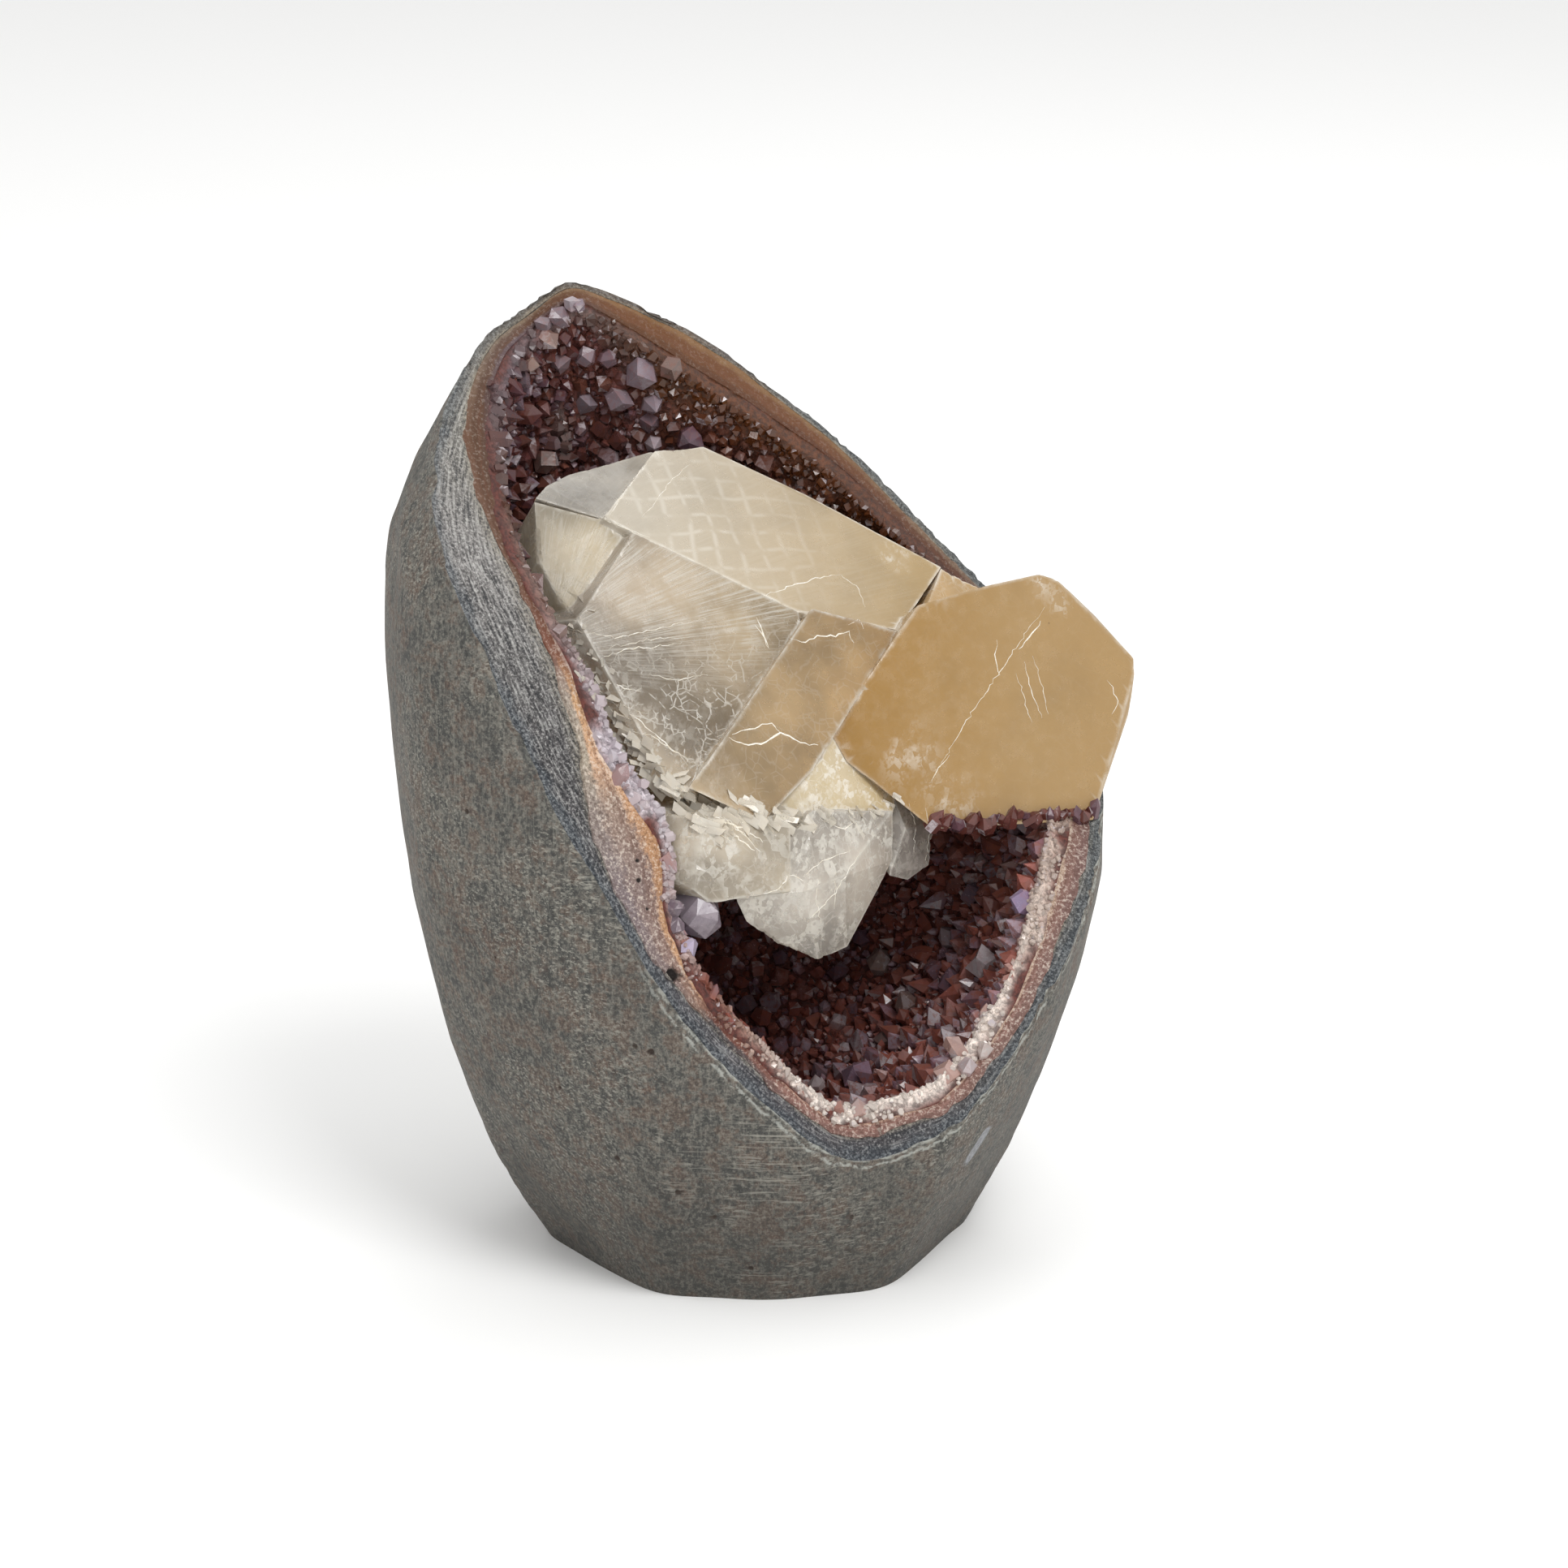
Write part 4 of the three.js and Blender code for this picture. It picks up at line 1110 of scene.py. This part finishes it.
# The calcite's crystals: the corners that the solid was grown from, in millimetres;
# the colour at its left and its right, and where those are; and how milky, cracked,
# fibrous, gridded and crushed it is.
CALCITE = {
    "upper_slab": (
        [(-28, -5.5, 140.5), (-19, 17, 148), (-10, 25, 147), (-6, 25.5, 145), (10.5, 28, 136.5),
         (35.5, 29, 122.5), (27, 7.5, 115.5), (8, -2, 121.5), (-22.5, -5.5, 137.5), (-40, 16, 118),
         (-30, 28, 112), (20, 32, 104), (0, 10, 96)],
        "#cec4b2", "#bca070", (-22, 32), 0.66, 0.05, 0.1, 1.0, 0.0),
    "front_slab": (
        [(-22.5, -5.5, 137.5), (8, -2, 121.5), (-32.5, -20, 124.5), (-28.5, -22, 119.5),
         (-27, -24, 113.5), (-14, -33, 94), (14, -14, 101), (-23, -27, 105.5), (-56, 4, 116),
         (-54, -6, 102), (-28, 4, 88), (8, 8, 88), (6, 22, 110)],
        "#cbbdab", "#d0b78c", (-35, 15), 0.38, 0.8, 1.0, 0.1, 0.15),
    "bar": (
        [(10.5, -3, 122.5), (27, 4.5, 116), (14, -16, 101.5), (10.5, -22.5, 96.5), (1.5, -34, 90),
         (-12, -35.5, 97), (-5, -27.5, 105), (4, 8, 112), (22, 12, 106), (-8, -10, 88)],
        "#cdb48d", "#caa46e", (-12, 27), 0.5, 0.15, 0.1, 0.2, 0.0),
    "left_wing": (
        [(-41, 0, 142), (-28, 0, 138.5), (-32.5, -16.5, 123.5), (-36, -14, 126.5), (-40, -9, 133),
         (-21, -3, 136), (-27, -4, 139), (-29, -18, 118), (-54, 10, 118), (-56, 2, 108),
         (-30, 14, 118)],
        "#ddd3bf", "#dccaa6", (-45, -20), 0.45, 0.3, 0.7, 0.0, 0.1),
    "left_end": (
        [(-41, 1, 142.5), (-39, 4.5, 144), (-35, 9.5, 145), (-20, 22.5, 146.5), (-14, 24.5, 145.5),
         (-28, 0.5, 138.5), (-50, 18, 120), (-34, 26, 124), (-14, 28, 128)],
        "#e2dcd2", "#ddd4c4", (-45, -15), 0.5, 0.2, 0.2, 0.3, 0.0),
    "lower_slab": (
        [(-9, -37.5, 91.5), (-11, -43.5, 80), (-8, -43.5, 77.5), (-3.5, -41.5, 78),
         (6.5, -39.5, 78.5), (6.5, -30.5, 90.5), (-46, -22, 92), (-42, -20, 78), (4, -8, 80),
         (0, -8, 94)],
        "#c4b9a9", "#c9bca6", (-46, 6), 0.5, 0.3, 0.1, 0.0, 0.55),
    "lower_crystal": (
        [(-3.5, -40, 77.5), (-1.5, -38.5, 72.5), (4.5, -36, 67), (11.5, -34, 63.5), (17, -30, 65),
         (25.5, -18.5, 78), (25.5, -14.5, 86.5), (10.5, -28, 90.5), (9, -39.5, 78.5),
         (16.5, -33, 79.5), (0, -8, 84), (16, -4, 84), (2, -16, 70)],
        "#d8d0c4", "#d5cabc", (-4, 25), 0.45, 0.5, 0.1, 0.0, 1.0),
    "right_crystal": (
        [(25, -9, 90), (30.5, -2, 88), (34, -2, 81), (32.5, -6.5, 73.5), (28.5, -11, 72),
         (25, -16.5, 74.5), (28, -13, 82.5), (14, 4, 90), (18, 6, 78)],
        "#d3c8bd", "#cfc4ba", (14, 34), 0.36, 0.3, 0.3, 0.0, 0.4),
    "upper_end": (
        [(35.5, 30, 122), (44, 33, 117), (30, 8, 114), (27, 7, 112), (20, 32, 104), (40, 34, 106)],
        "#d5b483", "#d2ae78", (20, 44), 0.55, 0.2, 0.1, 0.3, 0.0),
    "between": (
        [(14, -12.5, 101.5), (18, -12, 95), (26.5, -7.5, 90), (25.5, -14, 85.5), (10.5, -26, 89),
         (9.5, -21.5, 97), (2, -30, 89), (4, 4, 96), (16, 6, 88)],
        "#decfae", "#d5bd90", (2, 26), 0.66, 0.4, 0.1, 0.0, 0.8),
    "honey": (
        [(14, -13, 101), (27, 1.5, 117), (30.5, 5, 121), (43.5, 12, 123), (54, 17.5, 124),
         (57, 18, 123), (63.5, 14, 110), (69, 10, 98.5), (66.5, 4.5, 90.5),
         (63.5, -3.5, 81.5), (48.5, -8, 82), (33, -14.5, 83), (25.5, -13, 92), (17, -14.5, 96),
         (64.5, 19, 115.5), (72, 17, 107.5),
         (72, 15, 105), (71, 12, 98.5), (67.5, 7, 90), (52, 30, 116), (44, 34, 100), (44, 26, 78),
         (26, 18, 84), (22, 20, 110)],
        "#a47b38", "#b08f5e", (14, 50), 0.75, 0.02, 0.0, 0.0, 0.0),
}
# The two materials: name, transmission, and how the colour is scaled from clear to milky.
CALCITE_KINDS = (("clear_calcite", 0.45, (0.4, 1.2)), ("milky_calcite", 0.25, (0.68, 1.02)))
MILKY_CRYSTALS = ("upper_slab", "upper_end", "between", "honey")
# Places that are clearer, milkier or more crushed than the rest of their crystal:
# pixel across and down, radius in millimetres, and what is added to the two.
OTHER_PLACES = (
    (800, 850, 11, -0.25, 0), (860, 900, 9, -0.15, 0), (830, 780, 9, -0.1, 0),
    (720, 700, 8, 0.2, 0), (760, 760, 7, 0.1, 0), (950, 970, 8, -0.1, 0), (930, 700, 9, 0.2, 0),
    (1105, 687, 2.6, 0.8, 1.2), (1020, 1170, 6, -0.35, -0.5), (1000, 1110, 5, 0.3, 0),
    (1060, 1060, 6, 0.3, 0), (1280, 718, 2.2, 0.6, 0.6), (820, 715, 9, 0.3, 0),
    (880, 765, 10, 0.22, 0), (770, 740, 7, 0.15, 0), (1305, 742, 2.0, 0.5, 0.5),
    (1100, 960, 8, -0.15, 0), (700, 620, 6, -0.15, 0), (1370, 810, 4, 0.3, 0),
    (742, 860, 4, 0.3, 0.9), (768, 900, 5, 0.3, 0.9), (800, 945, 6, 0.3, 0.9),
    (838, 985, 6, 0.3, 0.9), (868, 1015, 5, 0.3, 0.9), (905, 1035, 4, 0.3, 0.9),
    (1120, 930, 5, 0.2, 0.5), (1175, 985, 4, 0.2, 0.5),
)
FIBRES_FROM, FIBRES_FULL = 108 * MM, 122 * MM  # the heights where the fibres set in
CRUSHED_BELOW = 122 * MM
SHARP_EDGE = 0.94  # the cosine of the turn at which two faces part
EDGE_STEP = 0.5 * MM
WEAR = 0.55 * MM
# The calcite's mesh is fine near its edges and coarse elsewhere.
NEAR_EDGES, FINE, COARSE = 1.1 * MM, 1.0 * MM, 3 * MM


def hull_planes(corners):
    """The planes round some corners, as rows of a normal and its distance."""
    work = bmesh.new()
    for corner in corners:
        work.verts.new(corner)
    bmesh.ops.convex_hull(work, input=work.verts)
    work.normal_update()
    planes = [(*f.normal, f.normal.dot(f.verts[0].co)) for f in work.faces]
    work.free()
    return np.array(planes)


def crystal_of_each(points, faces):
    """Which crystal each face belongs to: the one with a side in the same plane."""
    middles = points[faces].mean(axis=1)
    normals = face_normals(points, faces)
    scores = []
    for corners, *_ in CALCITE.values():
        planes = hull_planes(np.array(corners) * MM)
        heights = middles @ planes[:, :3].T - planes[:, 3]
        side = heights.argmax(axis=1)
        turn = 1 - (normals * planes[side, :3]).sum(axis=1)
        scores.append(np.abs(heights.max(axis=1)) + turn * 3 * MM)
    return np.argmin(scores, axis=0)


def edge_places(points, faces):
    """The sharp edges, as many places close together."""
    edges, sides = edges_of(faces)
    normals = face_normals(points, faces)
    total = np.zeros((len(edges), 3))
    for k in range(3):
        np.add.at(total, sides[:, k], normals)
    sharp = edges[(total**2).sum(axis=1) < 2 + 2 * SHARP_EDGE]
    places = []
    for a, b in points[sharp]:
        count = 2 + int(math.dist(a, b) / EDGE_STEP)
        places.append(a + np.linspace(0, 1, count)[:, None] * (b - a))
    return np.vstack(places)


def calcite_values(points, faces, crystal, tree, from_edge):
    """Numbers for each corner of each face, so that crystals meet in a clean line."""
    place = points[faces].reshape(-1, 3)
    crystal = np.repeat(crystal, 3)
    front, honey = (crystal == list(CALCITE).index(name) for name in ("front_slab", "honey"))
    _, left, right, ends, *numbers = zip(*CALCITE.values())
    left, right = (np.array([rgb(code) for code in codes])[crystal] for codes in (left, right))
    start, stop = np.array(ends)[crystal].T * MM
    share = np.clip((place[:, 0] - start) / (stop - start), 0, 1)[:, None]
    values = {"tint": left + share * (right - left)}
    for key, column in zip(("milk", "crack", "fibre", "grid", "crush"), numbers):
        values[key] = np.array(column)[crystal]

    def near(across, down, radius):
        away = place - np.array(seen(tree, across, down)[0])
        return np.exp(-(away**2).sum(axis=1) / (radius * MM) ** 2)

    for *where, milk, crush in OTHER_PLACES:
        share = near(*where)
        values["milk"] += milk * share
        values["crush"] = np.clip(values["crush"] + crush * share, 0, 1)
    # the fibres and cracks give way to each other down the front slab
    height = np.clip((place[:, 2] - FIBRES_FROM) / (FIBRES_FULL - FIBRES_FROM), 0, 1)
    values["fibre"] *= height
    values["crack"] *= 1 - 0.75 * height * front
    values["grid"] *= near(*GRID_PLACE)
    values["speck"] = honey * 1.0
    # the sides that face the left rim are crushed and white, and the faces turned from the
    # camera are painted milkier and lighter, as painted light on their shaded sides
    normals = face_normals(points, faces)
    facing_left = np.repeat(normals[:, 0] < -0.45, 3) & (place[:, 2] < CRUSHED_BELOW)
    values["milk"][facing_left] += 0.2
    values["crush"][facing_left] = 0.8
    turned_away = np.repeat(normals @ np.array(TO_CAMERA) < 0.4, 3)
    values["milk"][turned_away] += 0.35
    bright = np.clip(1.1 - from_edge / (0.6 * MM), 0, 1)[faces].ravel()
    values["edge"] = bright * np.where(honey, 0.5, 1)
    return values


def calcite_piece():
    points, faces = node_arrays("calcite_cluster")
    tree = tree_of(points, faces)
    crystal = crystal_of_each(points, faces)
    on_edges = edge_places(points, faces)

    def limit(middles):
        return np.where(nearest(middles, on_edges) < NEAR_EDGES, FINE, COARSE)

    points, faces, crystal = refine(points, faces, crystal, evenly(COARSE))
    points, faces, crystal = refine(points, faces, crystal, limit, 4)
    # the edges are worn, more in some places than in others
    from_edge = nearest(points, on_edges)
    chip = np.clip(0.25 + 1.3 * wobble(points, 5 * MM, 8), 0.05, 1)
    worn = np.clip(1 - from_edge / (2.2 * WEAR), 0, 1) * chip
    pairs, _ = edges_of(faces)
    pairs = np.vstack([pairs, pairs[:, ::-1]])
    for _ in range(3):
        points = points + 0.6 * worn[:, None] * (neighbours_middle(points, pairs) - points)

    values = calcite_values(points, faces, crystal, tree, from_edge)
    kinds = np.array([name in MILKY_CRYSTALS for name in CALCITE])[crystal]
    piece = make_mesh("calcite_crystals", points, faces, values, kinds, flat=True)
    focus, normal = seen(tree, *FAN_FOCUS)
    across = (RIGHT - normal * normal.dot(RIGHT)).normalized()
    focus = focus - across * 7 * MM
    clear, milky = [calcite(*row, focus, across, normal.cross(across)) for row in CALCITE_KINDS]
    finish_piece(piece, "calcite_cluster", "calcite", clear, milky)
    return tree_of(points, faces), clear


# The bright edges of cracks and cleavages: a width in millimetres, then pixels.
FRACTURES = (
    (0.45, (898, 908), (915, 918), (940, 915), (962, 903), (985, 915), (1008, 918)),
    (0.35, (902, 905), (925, 898), (950, 890), (962, 903)),
    (0.40, (972, 786), (990, 792), (1008, 782), (1030, 784), (1045, 778), (1052, 792)),
    (0.30, (1045, 770), (1058, 762), (1064, 775)),
    (0.60, (862, 1002), (885, 1018), (905, 1030), (930, 1048)),
    (0.50, (850, 985), (870, 1000), (892, 1012), (915, 1020), (940, 1038)),
    (0.40, (872, 1008), (890, 1030), (902, 1038)),
    (0.35, (700, 822), (728, 838), (752, 842), (790, 852)),
    (0.30, (735, 815), (770, 800), (800, 798), (840, 792)),
    (0.30, (742, 858), (790, 890), (830, 925), (862, 946)),
    (0.25, (726, 848), (760, 868), (800, 880)),
    (0.25, (800, 830), (830, 838), (872, 832)),
    (0.25, (760, 900), (800, 905), (838, 930), (850, 945)),
    (0.30, (930, 770), (942, 784), (948, 800)),
    (0.35, (1255, 800), (1268, 785), (1282, 765)),
    (0.28, (1228, 788), (1226, 812), (1232, 832)),
    (0.22, (1262, 815), (1270, 850), (1284, 885)),
    (0.22, (1272, 808), (1282, 840), (1292, 880)),
    (0.22, (1252, 830), (1262, 862), (1272, 890)),
    (0.25, (1148, 962), (1158, 945), (1170, 930)),
    (0.25, (1370, 880), (1378, 866), (1372, 850), (1364, 838)),
    (0.30, (1012, 1010), (1040, 1022), (1056, 1012)),
    (0.30, (930, 1105), (960, 1095), (975, 1078), (1000, 1090)),
    (0.26, (1000, 1130), (1030, 1100), (1046, 1070), (1060, 1050)),
    (0.26, (990, 1080), (1015, 1060), (1050, 1046)),
    (0.26, (1120, 990), (1128, 1020), (1126, 1050)),
    (0.26, (1140, 995), (1146, 1025), (1140, 1060)),
    (0.28, (748, 640), (765, 612), (798, 568)),
    (0.25, (745, 640), (772, 652), (800, 662)),
    (0.22, (790, 640), (830, 590), (850, 572)),
    (0.30, (940, 735), (975, 722), (1010, 712), (1036, 708)),
    (0.22, (1036, 708), (1056, 722), (1066, 748)),
    (0.35, (932, 760), (940, 778), (947, 798)),
    (0.22, (700, 775), (760, 786), (820, 772), (870, 762)),
    (0.20, (745, 800), (800, 788), (850, 785)),
    (0.30, (845, 985), (880, 998), (915, 1026), (938, 1050)),
    (0.26, (868, 1000), (900, 1012), (925, 1036)),
    (0.22, (1010, 1080), (1005, 1110), (1012, 1140)),
    (0.20, (1030, 1075), (1028, 1120)),
    (0.20, (1287, 748), (1240, 815), (1190, 890), (1147, 962)),
)
RIBBON_STEP, RIBBON_JITTER = 5, 0.9  # in pixels
RIBBON_HEIGHT = 0.07 * MM
RIBBON_ENDS = 0.35  # how pointed the ends are, as an angle


def fracture_piece(tree):
    """Thin closed ribbons laid in the calcite's surface along each path."""
    random = np.random.default_rng(RANDOM_SEED + 1)
    points, faces = [], []
    for width, *path in FRACTURES:
        path = np.array(path, float)
        steps = np.r_[0, np.cumsum(np.linalg.norm(np.diff(path, axis=0), axis=1))]
        count = max(3, int(steps[-1] / RIBBON_STEP))
        at = np.linspace(0, steps[-1], count)
        pixels = np.stack([np.interp(at, steps, path[:, k]) for k in (0, 1)], axis=1)
        pixels[1:-1] += random.normal(0, RIBBON_JITTER, (count - 2, 2))
        hits = np.array([seen(tree, *pixel) for pixel in pixels.tolist()])
        centre, normal = hits.transpose(1, 0, 2)
        side = turned(np.cross(normal, np.gradient(centre, axis=0)))
        half = np.sin(np.linspace(RIBBON_ENDS, math.pi - RIBBON_ENDS, count))
        half *= 0.36 * width * MM * random.uniform(0.6, 1.2, count)
        side, lift = side * half[:, None], normal * RIBBON_HEIGHT
        rings = np.stack([centre + side, centre + lift, centre - side, centre - lift], axis=1)
        start = sum(len(p) for p in points)
        points.append(rings.reshape(-1, 3))
        for i in range(count - 1):
            for k in range(4):
                a, b = start + 4 * i + k, start + 4 * i + (k + 1) % 4
                faces += [(a, a + 4, b), (b, a + 4, b + 4)]
        last = start + 4 * (count - 1)
        faces += [(start, start + 1, start + 2), (start, start + 2, start + 3)]
        faces += [(last, last + 2, last + 1), (last, last + 3, last + 2)]
    piece = make_mesh("calcite_fractures", np.vstack(points), np.array(faces), flat=True)
    finish_piece(piece, None, "calcite", fracture())


# Where the calcite is crushed into splinters, along the slab's left side and in the
# groove under it: pixel across and down, length in millimetres, and how many.
SPLINTERS = (
    (712, 776, 1.8, 4), (722, 800, 2.0, 5), (731, 824, 2.2, 6), (738, 845, 2.4, 6),
    (744, 862, 2.6, 7), (757, 884, 3.0, 8), (772, 905, 3.6, 9), (788, 926, 3.8, 10),
    (806, 948, 4.0, 10), (826, 968, 4.2, 11), (848, 988, 4.4, 11), (868, 1006, 4.4, 11),
    (890, 998, 4.6, 10), (914, 1006, 4.8, 10), (940, 1010, 4.6, 9), (966, 1010, 4.2, 8),
    (992, 1008, 3.8, 7), (1014, 1005, 3.2, 6), (884, 1024, 3.6, 6), (1050, 1010, 2.4, 4),
    (1078, 1000, 2.4, 4), (1102, 986, 2.2, 4),
)
SPLINTER_SPREAD = 8  # how far they are strewn, in pixels
SPLINTER_DIRECTIONS = (RIGHT * 0.85 - UP * 0.52, RIGHT * 0.35 + UP * 0.8, TO_CAMERA)
SPLINTER_TURN = 0.27  # how far they turn from these
SPLINTER_SIDES = (0.45, 0.16, 0.08), (1.3, 0.5, 0.3)  # least and most, in lengths
SPLINTER_BORDER = 0.14
SPLINTER_VALUES = {"milk": 0.6, "crack": 0.4, "crush": 0.6, "fibre": 0, "grid": 0, "speck": 0}
# A plate's corners in half lengths, and its sides.
BOX_CORNERS = np.array([(i, j, k) for k in (-1, 1) for j in (-1, 1) for i in (-1, 1)])
BOX_SIDES = ((0, 2, 3, 1), (4, 5, 7, 6), (0, 1, 5, 4), (2, 6, 7, 3), (0, 4, 6, 2), (1, 3, 7, 5))


def in_front(trees, pixel):
    """The foremost place that is seen through a pixel, if any surface is."""
    found = []
    for tree in trees:
        try:
            found.append(seen(tree, *pixel)[0])
        except ValueError:
            continue
    return max(found, key=TO_CAMERA.dot, default=None)


def splinters_piece(calcite_tree, bed_tree, material):
    """Thin sheared plates, whose faces have a narrow border for their bright edges."""
    random = np.random.default_rng(RANDOM_SEED + 2)
    points, faces, edge = [], [], []
    for across, down, length, how_many in SPLINTERS:
        for _ in range(how_many):
            pixel = random.normal((across, down), SPLINTER_SPREAD)
            turn = random.normal(0, SPLINTER_TURN, (3, 3))
            half = 0.5 * length * MM * random.uniform(*SPLINTER_SIDES)[:, None]
            place = in_front((calcite_tree, bed_tree), pixel.tolist())
            if place is None:
                continue
            half = turned(np.array(SPLINTER_DIRECTIONS) + turn) * half
            corners = np.array(place) + BOX_CORNERS @ half
            first = len(points)
            points += list(corners)
            edge += [0.8] * len(corners)
            for square in BOX_SIDES:
                middle = corners[list(square)].mean(axis=0)
                inner = len(points)
                points += [corners[c] + (middle - corners[c]) * SPLINTER_BORDER for c in square]
                edge += [0] * len(square)
                for k in range(4):
                    a, b = first + square[k], first + square[(k + 1) % 4]
                    c, d = inner + (k + 1) % 4, inner + k
                    faces += [(a, b, c), (a, c, d)]
                faces += [(inner, inner + 1, inner + 2), (inner, inner + 2, inner + 3)]
    values = {key: np.full(len(points), number) for key, number in SPLINTER_VALUES.items()}
    values["tint"] = np.tile(rgb("#f1e8d8"), (len(points), 1))
    values["edge"] = edge
    piece = make_mesh("calcite_splinters", np.array(points), np.array(faces), values, flat=True)
    finish_piece(piece, None, "calcite", material)


FLOOR_HALF = 6.0
FLOOR_COLOUR, FLOOR_ROUGHNESS = "#fdfdfc", 0.7
AROUND_STRENGTH = 0.82
# The lamps: name, place in metres, size in metres and power in watts.
LAMPS = (
    ("key", (0.45, -0.75, 1.2), 0.6, 10),
    ("fill", (-1.0, -0.7, 0.7), 0.9, 1),
    ("back", (0.2, 1.0, 1.1), 0.8, 3),
)


def look(thing, direction):
    """Turns a lamp or the camera towards a direction."""
    thing.rotation_euler = direction.to_track_quat("-Z", "Y").to_euler()
    bpy.context.scene.collection.objects.link(thing)


def studio():
    """A pale floor, soft light from all round, and the photograph's view."""
    scene = bpy.context.scene
    scene.view_settings.view_transform = "Standard"
    corners = FLOOR_HALF * np.array([(-1, -1, 0), (1, -1, 0), (1, 1, 0), (-1, 1, 0)])
    floor = make_mesh("floor", corners, np.array([(0, 1, 2), (0, 2, 3)]))
    pale = Shader("pale_floor").finish(base_color=colour(FLOOR_COLOUR), roughness=FLOOR_ROUGHNESS)
    floor.data.materials.append(pale)

    scene.world = world = bpy.data.worlds.new("studio")
    world.use_nodes = True
    background = world.node_tree.nodes["Background"].inputs
    background["Color"].default_value = (1, 1, 1, 1)
    background["Strength"].default_value = AROUND_STRENGTH

    for name, place, size, power in LAMPS:
        light = bpy.data.lights.new(name, "AREA")
        light.size = size
        light.energy = power
        lamp = bpy.data.objects.new(name, light)
        lamp.location = place
        look(lamp, TARGET - Vector(place))

    lens = bpy.data.cameras.new("camera")
    lens.sensor_width = SENSOR
    lens.lens = SENSOR * DISTANCE / (PIXEL * PHOTO_SIZE)
    scene.camera = camera = bpy.data.objects.new("camera", lens)
    camera.location = CAMERA
    look(camera, -TO_CAMERA)


studio()
basalt_piece()
agate_piece()
calcite_tree, clear_calcite = calcite_piece()
fracture_piece(calcite_tree)
bed = Bed()
splinters_piece(calcite_tree, bed.tree, clear_calcite)
druse_pieces(calcite_tree, bed)
